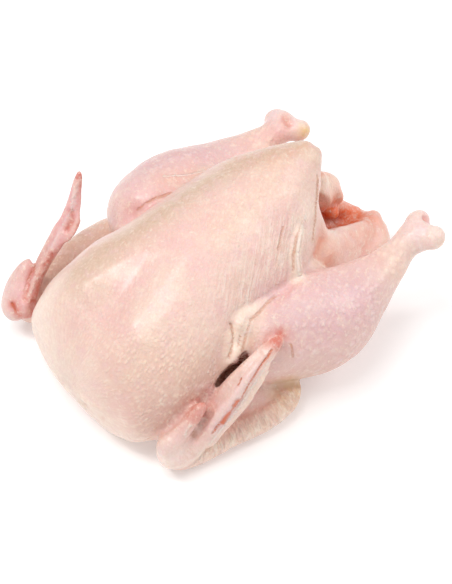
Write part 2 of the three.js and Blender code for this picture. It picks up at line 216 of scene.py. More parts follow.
@dataclass(frozen=True)
class Limb:
    """A limb, flap or fold: ellipses along a smooth path through its rows, with a dome at each end.

    Each row is a centre x, y, z, then the half width and half height of the section there.
    """

    rows: Rows
    start_dome: float = 0.15
    end_dome: float = 0.12
    upright: Point = UP
    furrow: float = 0.0
    around: int = 48
    along: int = 72
    samples: int = 56
    path_step: float = 0.01
    furrow_half_angle: float = 0.45

    def path(self) -> SmoothRows:
        """The rows as smooth values over the share of the path's length.

        Returns:
            The smooth rows, at places from 0 to 1.
        """
        rows = np.array(self.rows, float)
        steps = np.linalg.norm(np.diff(rows[:, :3], axis=0), axis=1)
        places = np.concatenate([[0], np.cumsum(steps)])
        return SmoothRows(places / places[-1], rows)

    def length(self) -> float:
        """Length of the path from row to row."""
        rows = np.array(self.rows, float)
        return float(np.linalg.norm(np.diff(rows[:, :3], axis=0), axis=1).sum())

    def sections(self, share: Array) -> tuple[Array, Array, Array, Array, Array, Array]:
        """Centres, side, top and forward directions, half sizes and shrink at shares of the path.

        Args:
            share: shares of the path, 0 to 1.

        Returns:
            Centres, sides, tops, forwards, half width and height, and the part of them that the domes leave.
        """
        path = self.path()
        values = path.at(share)
        forward = path.at(share + self.path_step)[:, :3] - path.at(share - self.path_step)[:, :3]
        forward /= np.linalg.norm(forward, axis=1)[:, None]
        side = np.cross(forward, np.array(self.upright))
        side /= np.linalg.norm(side, axis=1)[:, None]
        top = np.cross(side, forward)
        shrink = dome(share, self.start_dome) * dome(1 - share, self.end_dome)
        return values[:, :3], side, top, forward, values[:, 3:5], shrink

    def shell(self) -> Shell:
        """The limb's surface: centre + side * half width * cos + top * half height * sin of the angle.

        Both are times what the domes leave and, near the top line, the furrow's dip.

        Returns:
            A closed shell.
        """
        share = 0.5 - 0.5 * np.cos(np.pi * np.linspace(0, 1, self.along))
        angle = np.linspace(0, 2 * np.pi, self.around, endpoint=False)
        centre, side, top, _, half, shrink = self.sections(share)
        off_top = (angle - np.pi / 2) / self.furrow_half_angle
        dip = 1 - self.furrow * np.exp(-(off_top**2))[None] * np.sin(np.pi * share)[:, None]
        radius = shrink[:, None] * dip
        across = (half[:, :1] * np.cos(angle) * radius)[..., None] * side[:, None]
        rise = (half[:, 1:] * np.sin(angle) * radius)[..., None] * top[:, None]
        return Shell.from_grid(centre[:, None] + across + rise)

    def near(self, points: Array) -> Nearness:
        """Clearance from the section of the nearest centre, by the ellipse's reach towards each point.

        Args:
            points: points in millimetres.

        Returns:
            Clearance, length along the path, and length round the section from its top line.
        """
        share = np.linspace(0, 1, self.samples)
        centre, side, top, forward, half, shrink = self.sections(share)
        far = (centre**2).sum(1)[None] - 2 * points @ centre.T
        nearest = np.argmin(far, axis=1)
        offset = points - centre[nearest]
        across = (offset * side[nearest]).sum(1)
        rise = (offset * top[nearest]).sum(1)
        past = (offset * forward[nearest]).sum(1)
        inner = np.hypot(across, rise) + TINY
        stretch = np.hypot(across / inner / half[nearest, 0], rise / inner / half[nearest, 1])
        reach = shrink[nearest] / stretch
        gap = inner - reach
        clearance = np.where(gap > 0, np.hypot(gap, past), gap + np.abs(past))
        angle = np.arctan2(across, rise)
        return Nearness(clearance, share[nearest] * self.length() + past, angle * half[nearest].mean(1))


@dataclass(frozen=True)
class Ball:
    """The rounded end of a bone under its skin: an ellipsoid."""

    centre: Point
    radii: Point
    around: int = 40
    along: int = 24

    def shell(self) -> Shell:
        """The ellipsoid's surface by longitude and latitude: centre + radii * (cos cos, sin cos, sin).

        Returns:
            A closed shell.
        """
        latitude = np.linspace(-np.pi / 2, np.pi / 2, self.along)[:, None]
        longitude = np.linspace(0, 2 * np.pi, self.around, endpoint=False)[None]
        unit = np.stack(
            [
                np.cos(longitude) * np.cos(latitude),
                np.sin(longitude) * np.cos(latitude),
                np.sin(latitude) + 0 * longitude,
            ],
            -1,
        )
        unit[[0, -1], :, :2] = 0
        return Shell.from_grid(np.array(self.centre) + unit * np.array(self.radii))

    def near(self, points: Array) -> Nearness:
        """Clearance as the scaled distance from the centre, less one, times the mean radius.

        Args:
            points: points in millimetres.

        Returns:
            Clearance, with height and longitude as the two lengths.
        """
        offset = points - np.array(self.centre)
        size = float(np.mean(self.radii))
        scaled = np.linalg.norm(offset / np.array(self.radii), axis=1)
        return Nearness((scaled - 1) * size, offset[:, 1], np.arctan2(offset[:, 0], offset[:, 2]) * size)


@dataclass(frozen=True)
class Trunk:
    """The trunk: sections across the keel, each two half superellipses above and below its widest line.

    Each section gives its place along the keel, its half width, crest, widest line and underside as shares
    of the breast's half width and height, the squareness of its upper half and the depth of the valley
    between the lobes.
    """

    half_width: float = 57
    height: float = 99
    length: float = 176
    front: float = -96
    lean: float = 5
    lean_start: float = 0.3
    lean_end: float = 0.9
    front_dome: float = 11
    rear_dome: float = 7
    underside_power: float = 2.4
    valley_half_width: float = 14
    valley_set_back: float = 42
    tuck: float = 26
    tuck_start: float = 30
    tuck_end: float = 85
    tuck_top: float = 92
    tuck_fade: float = 54
    far_squareness: float = 0.35
    far_breadth: float = 0.2
    far_start: float = 0.45
    far_end: float = 0.95
    girth_radius: float = 52
    end_margin: float = 0.004
    core: float = 0.05
    around: int = 160
    along: int = 180
    rows: Rows = (
        (0.0, 0.52, 0.42, 0.26, 0.14, 2.0, 0.02),
        (0.035, 0.73, 0.57, 0.28, 0.08, 2.0, 0.05),
        (0.125, 0.93, 0.76, 0.31, 0.01, 1.9, 0.09),
        (0.25, 1.0, 0.88, 0.34, -0.02, 1.8, 0.07),
        (0.4, 0.98, 0.95, 0.36, -0.02, 1.75, 0.02),
        (0.575, 0.895, 0.99, 0.4, -0.02, 1.7, 0.0),
        (0.745, 0.755, 1.0, 0.42, -0.01, 1.65, 0.0),
        (0.875, 0.56, 1.0, 0.42, 0.01, 1.6, 0.0),
        (0.955, 0.37, 0.99, 0.44, 0.04, 1.6, 0.0),
        (1.0, 0.21, 0.97, 0.42, 0.08, 1.8, 0.0),
    )

    def sizes(self, share: Array) -> Array:
        """The section's shares at each place along the keel."""
        table = np.array(self.rows, float)
        return SmoothRows(table[:, 0], table[:, 1:]).at(share)

    def shrink(self, share: Array) -> Array:
        """What the domes at both ends leave of the section."""
        return dome(self.length * share, self.front_dome) * dome(self.length * (1 - share), self.rear_dome)

    def tucked(self, along: Array, height: Array) -> Array:
        """How far the rear is drawn in below the end of the keel: the tuck times both shares.

        Args:
            along: places along the keel.
            height: heights above the back.

        Returns:
            Lengths in millimetres.
        """
        rear = np.clip((along - self.tuck_start) / (self.tuck_end - self.tuck_start), 0, 1)
        low = np.clip((self.tuck_top - height) / self.tuck_fade, 0, 1)
        return self.tuck * rear * low

    def fuller(self, share: Array, side: Array) -> Array:
        """How much fuller the left side is towards the rear: 0 on the right, rising to 1 on the left."""
        return np.where(side < 0, smoothstep(self.far_start, self.far_end, share), 0)

    def leaning(self, share: Array) -> Array:
        """How far the section leans towards the bird's right."""
        return self.lean * (1 - smoothstep(self.lean_start, self.lean_end, share))

    def shell(self) -> Shell:
        """The trunk's surface over angle and place: half superellipses, set back by the valley and the tuck.

        Returns:
            A closed shell.
        """
        share = 0.5 - 0.5 * np.cos(np.pi * np.linspace(0, 1, self.along))
        angle = np.linspace(0, 2 * np.pi, self.around, endpoint=False)[None]
        width, crest, widest, under, power, cleft = (column[:, None] for column in self.sizes(share).T)
        shrink = self.shrink(share)[:, None]
        across = np.cos(angle)
        up = np.sin(angle)
        fuller = self.fuller(share[:, None], across)
        squareness = np.where(up >= 0, power + self.far_squareness * fuller, self.underside_power)
        reach = np.where(up >= 0, crest - widest, widest - under)
        half = self.half_width * width * (1 + self.far_breadth * fuller) * shrink
        x = half * signed_power(across, 2 / squareness)
        rise = self.height * reach * shrink * signed_power(up, 2 / squareness)
        valley = shrink * cleft * np.exp(-((x / self.valley_half_width) ** 2)) * np.maximum(up, 0)
        z = self.height * (widest - (crest - under) * valley) + rise
        y = self.front + self.length * share[:, None] + self.valley_set_back * valley
        y = y - self.tucked(self.front + self.length * share[:, None], z)
        return Shell.from_grid(np.stack([x + self.leaning(share)[:, None], y, z], -1))

    def near(self, points: Array) -> Nearness:
        """Clearance by the superellipse of the section that each point lies in, and its girth angle.

        Args:
            points: points in millimetres.

        Returns:
            Clearance, length along the keel, and length round the girth from the crest.
        """
        along = points[:, 1] + self.tucked(points[:, 1], points[:, 2])
        share = np.clip((along - self.front) / self.length, self.end_margin, 1 - self.end_margin)
        width, crest, widest, under, power, _ = self.sizes(share).T
        shrink = self.shrink(share)
        x = points[:, 0] - self.leaning(share)
        z = points[:, 2] - self.height * widest
        up = z >= 0
        fuller = self.fuller(share, x)
        squareness = np.where(up, power + self.far_squareness * fuller, self.underside_power)
        half_x = self.half_width * width * (1 + self.far_breadth * fuller) * shrink
        half_z = self.height * np.where(up, crest - widest, widest - under) * shrink
        scaled = (np.abs(x / half_x) ** squareness + np.abs(z / half_z) ** squareness) ** (1 / squareness)
        past = np.abs(along - self.front - self.length * share)
        clearance = (1 - 1 / np.maximum(scaled, self.core)) * np.hypot(x, z) + past
        return Nearness(clearance, points[:, 1], np.arctan2(x, z) * self.girth_radius)


Form = Limb | Ball | Trunk


def mirrored(rows: Rows) -> Rows:
    """The same rows on the other side of the bird."""
    return tuple((-row[0], *row[1:]) for row in rows)


@dataclass(frozen=True)
class LatticeNoise:
    """Smooth seeded noise: random values at a lattice's corners, blended by smoothsteps inside each cell."""

    seed: int
    size: int = 32

    def at(self, places: Array) -> Array:
        """Noise at places counted in cells; the lattice repeats every `size` cells.

        Args:
            places: points in cells.

        Returns:
            Values from -1 to 1.
        """
        lattice = np.random.default_rng(self.seed).uniform(-1, 1, (self.size,) * 3)
        cell = np.floor(places).astype(int)
        share = places - cell
        share = share * share * (3 - 2 * share)
        total = np.zeros(len(places))
        for corner in np.ndindex(2, 2, 2):
            weight = np.prod(np.where(corner, share, 1 - share), axis=1)
            index = (cell + corner) % self.size
            total += weight * lattice[index[:, 0], index[:, 1], index[:, 2]]
        return total


class Tint(Enum):
    """What may colour or texture the skin in one place; each is an attribute of the mesh."""

    ROSE = "rose"
    LILAC = "lilac"
    FAT = "fat"
    # Beige-brown: partly darker skin, partly painted shade on the far side of the breast and beside the left
    # hand.
    KHAKI_AND_SHADE = "khaki_and_shade"
    PEARL = "pearl"
    # Pale cream: the skin's own, and painted light that lifts shaded places such as the skin under the thigh
    # and the flank's ridge.
    MILK_AND_PAINTED_LIGHT = "milk_and_painted_light"
    FLESH = "flesh"
    BLOOD = "blood"
    RAW = "raw"
    # Brown painted shade under the near wing, under the right leg and by the left hand; on the left forearm
    # also its own darker skin.
    BROWN_AND_SHADE = "brown_and_shade"
    HOLLOW = "hollow"
    SHADE = "shade"
    YELLOW = "yellow"
    GOOSE = "goose"
    STRETCH = "stretch"
    WRINKLE = "wrinkle"
    # A dark line along a crease or groove: painted shade in it, and on the flank thin brown stretch lines.
    CREASE = "crease"
    TEAR = "tear"
    THREAD = "thread"
    NONE = "none"


def path_distance(path: Rows, points: Array, normals: Array, depth_share: float, reach: float) -> Array:
    """Distance from a path of straight pieces, with distance along the skin's normal counting for less.

    Args:
        path: the path's points.
        points: points in millimetres.
        normals: unit normals at the points.
        depth_share: what distance along the normal counts for.
        reach: distance past which the answer is infinite.

    Returns:
        Distances in millimetres.
    """
    rows = np.array(path, float)
    box = reach / depth_share
    inside = np.all((points > rows.min(0) - box) & (points < rows.max(0) + box), axis=1)
    near = points[inside]
    upright = normals[inside]
    closest = np.full(len(near), np.inf)
    ends = rows[1:] if len(rows) > 1 else rows
    for start, end in zip(rows[: len(ends)], ends):
        run = end - start
        share = np.clip(((near - start) @ run) / max(float(run @ run), TINY), 0, 1)
        offset = near - start - share[:, None] * run
        deep = (offset * upright).sum(1)
        closest = np.minimum(closest, (offset**2).sum(1) - (1 - depth_share**2) * deep**2)
    distance = np.full(len(points), np.inf)
    distance[inside] = np.sqrt(closest)
    return distance


@dataclass(frozen=True)
class Mark:
    """A line or spot that tints the skin, and raises or lowers it, about a path through a few points."""

    path: Rows
    radius: float
    tint: Tint
    strength: float
    lift: float = 0.0
    depth_share: float = 0.35
    reach: float = 3.0

    def weight(self, points: Array, normals: Array) -> Array:
        """exp(-(distance / radius)^2) from the path, with distance along the skin's normal counting for less.

        Args:
            points: points in millimetres.
            normals: unit normals at the points.

        Returns:
            Weights from 0 to 1.
        """
        distance = path_distance(self.path, points, normals, self.depth_share, self.reach * self.radius)
        return np.exp(-((distance / self.radius) ** 2))


@dataclass(frozen=True)
class Line:
    """A crisp line: a crease, a tear or a thin ridge, stored as a ramp that the finish sharpens."""

    path: Rows
    half_width: float
    tint: Tint
    depth_share: float = 0.2

    def weight(self, points: Array, normals: Array) -> Array:
        """1 on the line, 0.5 at its half width, and 0 at twice that.

        Args:
            points: points in millimetres.
            normals: unit normals at the points.

        Returns:
            Weights from 0 to 1.
        """
        distance = path_distance(self.path, points, normals, self.depth_share, 2 * self.half_width)
        return np.clip(1 - 0.5 * distance / self.half_width, 0, 1)


@dataclass
class SkinMesh:
    """The skin as arrays: points in millimetres, faces and edges, smoothed as whole arrays."""

    points: Array
    quads: Array
    edges: Array
    degree: Array = field(init=False)
    pull: float = 0.5
    push_back: float = 0.53

    def __post_init__(self) -> None:
        """Count each point's edges."""
        self.degree = np.maximum(np.bincount(self.edges.ravel(), minlength=len(self.points)), 1)

    def neighbour_mean(self, values: Array) -> Array:
        """The mean of the neighbours' values at each point, summed over the edges.

        Args:
            values: one number or row for each point.

        Returns:
            An array of the same shape.
        """
        first, second = self.edges.T
        columns = values.reshape(len(values), -1)
        total = [
            np.bincount(first, column[second], len(values)) + np.bincount(second, column[first], len(values))
            for column in columns.T
        ]
        return (np.stack(total, 1) / self.degree[:, None]).reshape(values.shape)

    def smooth(self, rounds: int, weight: Array | float, shrink: bool) -> None:
        """Pull points towards their neighbours' mean, and push them back a little more unless it may shrink.

        Args:
            rounds: number of passes.
            weight: share of the pull, for all points or for each.
            shrink: whether the surface may shrink, as a fillet does.
        """
        share = np.broadcast_to(np.asarray(weight, float), (len(self.points),))[:, None]
        for _ in range(rounds):
            self.points += self.pull * share * (self.neighbour_mean(self.points) - self.points)
            if not shrink:
                self.points -= self.push_back * share * (self.neighbour_mean(self.points) - self.points)

    def normals(self) -> Array:
        """Sum the cross products of the faces' diagonals about each point, and scale the sums to length 1.

        Returns:
            Unit normals at the points.
        """
        corners = self.points[self.quads]
        face = np.cross(corners[:, 2] - corners[:, 0], corners[:, 3] - corners[:, 1])
        count = len(self.points)
        total = np.stack(
            [sum(np.bincount(corner, part, count) for corner in self.quads.T) for part in face.T],
            1,
        )
        return total / np.maximum(np.linalg.norm(total, axis=1), TINY)[:, None]


class MeshTools:
    """Meshes in and out of Blender, and the two modifiers that turn overlapping shells into one skin."""

    @staticmethod
    def put(name: str, shell: Shell) -> bpy.types.Object:
        """Make an object of a shell, in metres of the row frame.

        Args:
            name: the object's name.
            shell: closed shells in millimetres.

        Returns:
            The new object, linked to the scene.
        """
        mesh = bpy.data.meshes.new(name)
        corners = ((shell.points - FOOTPRINT_MIDDLE) * MM).tolist()
        faces = shell.quads.tolist() + shell.triangles.tolist()
        mesh.from_pydata(corners, [], faces)
        mesh.update()
        made = bpy.data.objects.new(name, mesh)
        bpy.context.scene.collection.objects.link(made)
        return made

    @staticmethod
    def settle(made: bpy.types.Object) -> None:
        """Replace an object's mesh by what its modifiers make of it.

        Args:
            made: the object, which keeps its name.
        """
        graph = bpy.context.evaluated_depsgraph_get()
        mesh = bpy.data.meshes.new_from_object(made.evaluated_get(graph))
        mesh.materials.clear()
        made.modifiers.clear()
        made.data = mesh

    @classmethod
    def voxels(cls, made: bpy.types.Object, size: float) -> None:
        """Remesh an object into one even skin of quads.

        Args:
            made: object of closed, overlapping shells.
            size: edge of a voxel in millimetres.
        """
        remesh = made.modifiers.new("voxels", "REMESH")
        remesh.mode = "VOXEL"
        remesh.voxel_size = size * MM
        cls.settle(made)

    @classmethod
    def hollow(cls, made: bpy.types.Object, cutter: bpy.types.Object) -> None:
        """Cut one closed object out of another.

        Args:
            made: the object that is cut.
            cutter: the object that is cut out of it, which is removed.
        """
        cut = made.modifiers.new("hollow", "BOOLEAN")
        cut.operation = "DIFFERENCE"
        cut.solver = "MANIFOLD"
        cut.object = cutter
        cls.settle(made)
        bpy.data.objects.remove(cutter)

    @staticmethod
    def join(body: bpy.types.Object, rest: bpy.types.Object) -> None:
        """Put the second object's mesh into the first, and remove the second."""
        with bpy.context.temp_override(active_object=body, selected_editable_objects=[body, rest]):
            bpy.ops.object.join()

    @staticmethod
    def read(made: bpy.types.Object) -> SkinMesh:
        """An object's quads as arrays in millimetres.

        Args:
            made: object whose faces all have four corners.

        Returns:
            Its points, faces and edges.
        """
        mesh = made.data
        points = np.empty(len(mesh.vertices) * 3, np.float64)
        mesh.vertices.foreach_get("co", points)
        corners = np.empty(len(mesh.loops), np.int32)
        mesh.loops.foreach_get("vertex_index", corners)
        edges = np.empty(len(mesh.edges) * 2, np.int32)
        mesh.edges.foreach_get("vertices", edges)
        placed = points.reshape(-1, 3) / MM + FOOTPRINT_MIDDLE
        return SkinMesh(placed, corners.reshape(-1, 4), edges.reshape(-1, 2))

    @staticmethod
    def write(made: bpy.types.Object, points: Array) -> None:
        """Put moved points back into an object's mesh, in metres of the row frame."""
        made.data.vertices.foreach_set("co", ((points - FOOTPRINT_MIDDLE) * MM).ravel())
        made.data.update()

    @staticmethod
    def paint(made: bpy.types.Object, name: str, values: Array) -> None:
        """Store one number or one vector for each point as an attribute of the mesh.

        Args:
            made: the object.
            name: the attribute's name.
            values: numbers, or rows of three.
        """
        kind, member = ("FLOAT", "value") if values.ndim == 1 else ("FLOAT_VECTOR", "vector")
        attribute = made.data.attributes.new(name, kind, "POINT")
        attribute.data.foreach_set(member, values.astype(np.float32).ravel())


# What several limbs and folds share: their domes, section counts, furrow and upright direction.
LEG: Options = {"around": 96, "along": 110, "start_dome": 0.1, "end_dome": 0.05}
ROLL: Options = {"start_dome": 0.25, "end_dome": 0.25, "upright": TAILWARD}
FLAP: Options = {"start_dome": 0.2, "end_dome": 0.15}
FOLD: Options = {"start_dome": 0.3, "end_dome": 0.3, "upright": SIDEWAYS}
LIP: Options = {"start_dome": 0.2, "end_dome": 0.3, "around": 32}
HAND: Options = {"start_dome": 0.12, "end_dome": 0.05, "furrow": 0.35, "along": 96}
THIGH: Rows = ((20, 52, 34, 20, 22), (32, 34, 32, 24, 26), (42, 8, 34, 24, 24), (44, -12, 40, 16, 17))


@dataclass(frozen=True)
class Part:
    """A part of the bird, whose fields are its forms."""

    def forms(self) -> dict[str, Form]:
        """The part's forms by name, in order."""
        return {entry.name: getattr(self, entry.name) for entry in fields(self)}


@dataclass(frozen=True)
class Legs(Part):
    """Drumsticks, thighs and the rounded ends of the leg bones."""

    right_leg: Limb = Limb(
        (
            (43, -24, 43, 12, 13),
            (46, -13, 42, 20, 22),
            (53, 12, 38, 26, 27),
            (58, 38, 37, 26, 26),
            (59, 61, 43, 17, 17),
            (58, 80, 49, 10, 10),
            (57, 92, 54, 8, 7),
            (58, 101, 58, 11, 8),
            (59, 109, 60, 12, 8),
        ),
        **LEG,
    )
    left_leg: Limb = Limb(
        (
            (-46, -19, 42, 13, 13),
            (-49, -9, 42, 21, 23),
            (-56, 14, 40, 27, 28),
            (-57, 40, 38, 25, 26),
            (-57, 64, 41, 17, 17),
            (-57, 84, 45, 10, 9),
            (-56, 94, 48, 8, 7),
            (-56, 102, 50, 11, 8),
            (-56, 109, 51, 12, 8),
        ),
        **LEG,
    )
    right_thigh: Limb = Limb(THIGH, start_dome=0.3, end_dome=0.2)
    left_thigh: Limb = Limb(mirrored(THIGH), start_dome=0.3, end_dome=0.2)
    right_hock_outer: Ball = Ball((66, 103, 60), (6.5, 7.5, 6.5))
    right_hock_inner: Ball = Ball((52, 105, 60), (6.5, 7.5, 6.5))
    left_hock_outer: Ball = Ball((-63, 102, 49), (6.5, 7.5, 6.5))
    left_hock_inner: Ball = Ball((-48, 106, 49.5), (6.5, 7.0, 6.5))


@dataclass(frozen=True)
class RightWing(Part):
    """Upper arm, forearm, hand and thumb of the bird's right wing."""

    right_upper_arm: Limb = Limb(
        ((44, -48, 22, 15, 14), (56, -22, 16, 13, 12), (62, 0, 14, 12, 12)),
        start_dome=0.25,
        end_dome=0.3,
    )
    right_forearm: Limb = Limb(
        (
            (70, 8, 15, 8, 8),
            (69, -8, 11, 12, 9),
            (65, -40, 9, 13, 9),
            (62, -68, 12, 11, 11),
            (61, -78, 15, 9, 10),
        ),
    )
    right_hand: Limb = Limb(
        (
            (63, -82, 17, 11, 10),
            (66.5, -68, 18, 8, 8),
            (67.5, -57, 25, 8, 7),
            (68.8, -46, 35, 8.0, 6.5),
            (70.0, -35, 46, 7.0, 6),
            (70.2, -25, 54, 5.4, 5),
            (69.5, -14, 59, 4.4, 4),
            (69, -6, 62, 3, 2.8),
            (69, -3, 63, 2, 2),
        ),
        **HAND,
    )
    right_lip: Limb = Limb(
        (
            (75, -59, 18, 2.0, 3.0),
            (75, -50, 26, 2.2, 2.6),
            (75.5, -40, 34, 2.4, 2.4),
            (75.5, -32, 42, 2.2, 2.2),
            (75, -24, 48, 1.8, 2.0),
            (74, -16, 54, 1.4, 1.6),
        ),
        **LIP,
    )
    right_thumb: Limb = Limb(
        (
            (64, -82, 22, 8, 8),
            (65, -73.5, 27, 6, 6),
            (65.5, -65, 33, 5, 5),
            (66, -58, 39.5, 4.2, 4),
            (66.5, -53, 44, 3.2, 3.2),
        ),
        start_dome=0.3,
        end_dome=0.15,
    )


@dataclass(frozen=True)
class LeftWing(Part):
    """Upper arm, forearm, hand and thumb of the bird's left wing."""

    left_upper_arm: Limb = Limb(
        ((-44, -48, 22, 15, 14), (-58, -22, 16, 13, 12), (-68, 0, 14, 12, 12)),
        start_dome=0.25,
        end_dome=0.3,
    )
    left_forearm: Limb = Limb(
        (
            (-74, 4, 19, 8, 9),
            (-74, -14, 17, 13, 10),
            (-72, -42, 15, 13, 10),
            (-66, -66, 14, 12, 12),
            (-61, -82, 13, 11, 12),
        ),
    )
    left_hand: Limb = Limb(
        (
            (-60, -84, 16, 12, 11),
            (-61, -74, 29, 5.4, 6.5),
            (-64, -64, 38, 3.9, 5),
            (-65.4, -56, 45.5, 4.8, 4.5),
            (-65.2, -49, 54, 6.4, 4),
            (-65, -43, 62, 5.5, 3.6),
            (-66.5, -38, 70, 4.4, 3.4),
            (-68, -34.5, 77, 3.2, 3),
            (-69.3, -31.5, 83.5, 2.2, 2.2),
            (-70, -29.5, 88, 1.5, 1.5),
        ),
        **HAND,
    )
    left_web: Limb = Limb(
        (
            (-65.2, -32, 78, 1, 1.2),
            (-63.4, -35, 73, 1.4, 1.4),
            (-62, -37, 69, 1.6, 1.6),
            (-59.5, -41, 63, 2.4, 2.2),
            (-59, -46, 57, 2.6, 2.2),
            (-60, -51, 51, 2.4, 2),
        ),
        **ROLL,
    )
    left_thumb: Limb = Limb(
        ((-61, -86, 13, 8.5, 9), (-69, -75, 32, 5.8, 5.4), (-70.5, -66, 42, 2.6, 2.6)),
        start_dome=0.3,
        end_dome=0.2,
    )


@dataclass(frozen=True)
class SkinFolds(Part):
    """Rolls, ridges and webs of loose skin."""

    flank_roll: Limb = Limb(
        (
            (45, 6, 62, 4, 4),
            (50, -8, 61, 6, 5),
            (54, -19, 56, 6, 5),
            (57, -26, 46, 5, 5),
            (57, -28, 38, 4, 4),
        ),
        **ROLL,
    )
    flank_roll_front: Limb = Limb(
        ((46, -14, 64, 4, 4), (51, -24, 59, 5, 4), (55, -31, 50, 5, 4), (58, -35, 40, 4, 4)),
        **ROLL,
    )
    flank_lobe: Limb = Limb(
        ((45, -7, 66, 3, 3), (47, -12, 64.5, 4.4, 4), (50, -17.5, 63.5, 4.8, 4.2), (53, -20.8, 62, 3.6, 3.6)),
        **ROLL,
    )
    flank_hanging: Limb = Limb(
        (
            (55, -24, 59.5, 2.2, 3),
            (57, -26, 56.6, 3, 3.4),
            (58.4, -28.4, 53.6, 3.4, 3.6),
            (59, -30.8, 50.6, 2.6, 3),
        ),
        **ROLL,
    )
    flank_narrow: Limb = Limb(
        (
            (55, -20.2, 60.4, 1.5, 2),
            (56.2, -22, 58.6, 1.7, 2.2),
            (57.6, -23.2, 56.6, 1.7, 2.2),
            (58.8, -24, 55, 1.4, 2),
        ),
        **ROLL,
    )
    flank_ridge: Limb = Limb(
        ((28, 41, 78, 2, 3), (35, 32, 71, 2.4, 3.5), (41, 27, 62, 3, 4), (44, 24, 56, 4, 4)),
        **ROLL,
    )
    thigh_web: Limb = Limb(
        ((-50, 6, 60, 8, 3), (-46, 20, 63, 10, 3), (-40, 33, 64, 10, 3), (-33, 46, 63, 8, 3)),
        start_dome=0.2,
        end_dome=0.2,
    )
    neck_skin: Limb = Limb(
        ((-20, -72, 11, 11, 7), (2, -78, 10, 11, 7), (22, -75, 9, 11, 7), (40, -66, 9, 10, 7)),
        start_dome=0.25,
        end_dome=0.25,
    )
    keel_fold: Limb = Limb(
        ((0, 73, 97, 1.6, 2), (2, 75, 92, 2, 2.4), (4, 73.5, 87, 2, 2.4), (8, 69, 81, 1.6, 2)),
        **FOLD,
    )


@dataclass(frozen=True)
class Vent(Part):
    """The flaps and rim of skin round the opened belly."""

    belly_side: Limb = Limb(
        ((10, 62, 78, 4, 5), (14, 60, 68, 6, 6), (18, 59, 57, 7, 8), (21, 60, 45, 8, 10)),
        **FOLD,
    )
    near_flap: Limb = Limb(
        (
            (24, 46, 46, 9, 19),
            (25, 58, 38, 9.5, 18),
            (22, 76, 29, 9, 16),
            (19, 90, 23, 8.5, 13.5),
            (15, 104, 17, 7.5, 10.5),
            (9, 117, 15, 6, 7),
        ),
        **FLAP,
    )
    near_curl: Limb = Limb(
        ((17, 103, 21, 5, 5), (14, 109, 22, 5, 4.5), (10, 113, 20, 5, 4.5), (7, 114, 14, 4, 4)),
        **FLAP,
    )
    far_wall: Limb = Limb(
        (
            (-16, 50, 43, 7, 18),
            (-16, 60, 40, 7, 18),
            (-13, 76, 32, 6, 18),
            (-10, 90, 24, 5, 14),
            (-6, 102, 18, 5, 9),
        ),
        **FLAP,
    )
    far_flap: Limb = Limb(
        (
            (-3, 62, 65, 6, 7),
            (-4, 71, 63, 5, 6),
            (-4, 82, 58, 7, 7),
            (-3, 88, 51, 8, 7),
            (-2, 89, 42, 7, 6),
            (-2, 91, 31, 6, 6),
        ),
        **FLAP,
        upright=SIDEWAYS,
    )
    far_rim: Limb = Limb(
        (
            (-5, 88, 40, 5, 6),
            (-5, 100, 25, 5, 6),
            (-1, 108, 17, 5, 5),
            (6, 115, 13, 5, 4),
            (10, 119, 14, 5, 4),
        ),
        **FLAP,
        upright=SIDEWAYS,
    )
    lump: Limb = Limb(
        ((3, 85, 41, 4, 4), (3, 87, 37, 4.6, 5), (3, 88, 33, 4, 4)),
        start_dome=0.4,
        end_dome=0.4,
        upright=SIDEWAYS,
    )
    flap_fold: Limb = Limb(
        ((3, 74, 66, 2, 2), (4, 80, 59, 2.6, 2.6), (4, 83, 51, 2.4, 2.4), (4, 84, 44, 2, 2)),
        **FOLD,
    )
    flap_fold_back: Limb = Limb(
        ((0, 86, 60, 2, 2), (2, 91, 52, 2.6, 2.4), (3, 93, 45, 2.4, 2.4), (2, 93, 38, 2, 2)),
        **FOLD,
    )
    flap_inner: Limb = Limb(
        ((-1, 79, 60, 4, 4), (0, 80, 52, 5, 4.5), (0, 81, 45, 4.5, 4.5), (1, 83, 39, 3.5, 4)),
        **FOLD,
    )
    flap_top: Ball = Ball((-2, 80, 64), (6, 5.5, 5))
    rim_crumb: Ball = Ball((-3, 103, 25), (3, 3.5, 3))
    rim_crumb_low: Ball = Ball((0, 109, 21), (2.6, 3, 2.6))
    rim_crumb_last: Ball = Ball((5, 113.5, 17.5), (2.6, 3, 2.4))


@dataclass(frozen=True)
class Anatomy:
    """Every form of the bird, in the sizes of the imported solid, and the two hollows that are cut into it."""

    trunk: Trunk = Trunk()
    tail: Limb = Limb(
        (
            (2, 60, 20, 26, 16),
            (8, 84, 16, 22, 14),
            (14, 102, 15, 18, 11),
            (17, 117, 17, 11, 8),
        ),
        start_dome=0.25,
    )
    legs: Legs = Legs()
    right_wing: RightWing = RightWing()
    left_wing: LeftWing = LeftWing()
    folds: SkinFolds = SkinFolds()
    vent: Vent = Vent()
    hollow: Limb = Limb(
        (
            (4, 112, 25, 6, 6),
            (4, 98, 31, 9, 11),
            (3, 82, 39, 12, 16),
            (1, 66, 43, 13, 16),
            (0, 52, 44, 12, 14),
        ),
        start_dome=0.2,
        end_dome=0.25,
    )
    armpit: Limb = Limb(
        (
            (57, -18.4, 49, 1.8, 12),
            (59.4, -23, 46.8, 3.6, 15),
            (60.2, -29.3, 44.2, 4.3, 16),
            (60.6, -36.4, 42, 3.5, 14),
            (61.4, -43.1, 39, 1.7, 11),
            (62, -48.3, 37, 0.9, 8),
        ),
        start_dome=0.2,
        end_dome=0.3,
        upright=GAP_UPRIGHT,
    )
    cavity_walls: tuple[str, ...] = ("trunk", "tail")
    over_armpit: tuple[str, ...] = ("right_hand", "right_lip", "right_thumb", "flank_hanging")

    def forms(self) -> dict[str, Form]:
        """All forms that the skin wraps, by name."""
        return {
            "trunk": self.trunk,
            "tail": self.tail,
            **self.legs.forms(),
            **self.right_wing.forms(),
            **self.left_wing.forms(),
            **self.folds.forms(),
            **self.vent.forms(),
        }


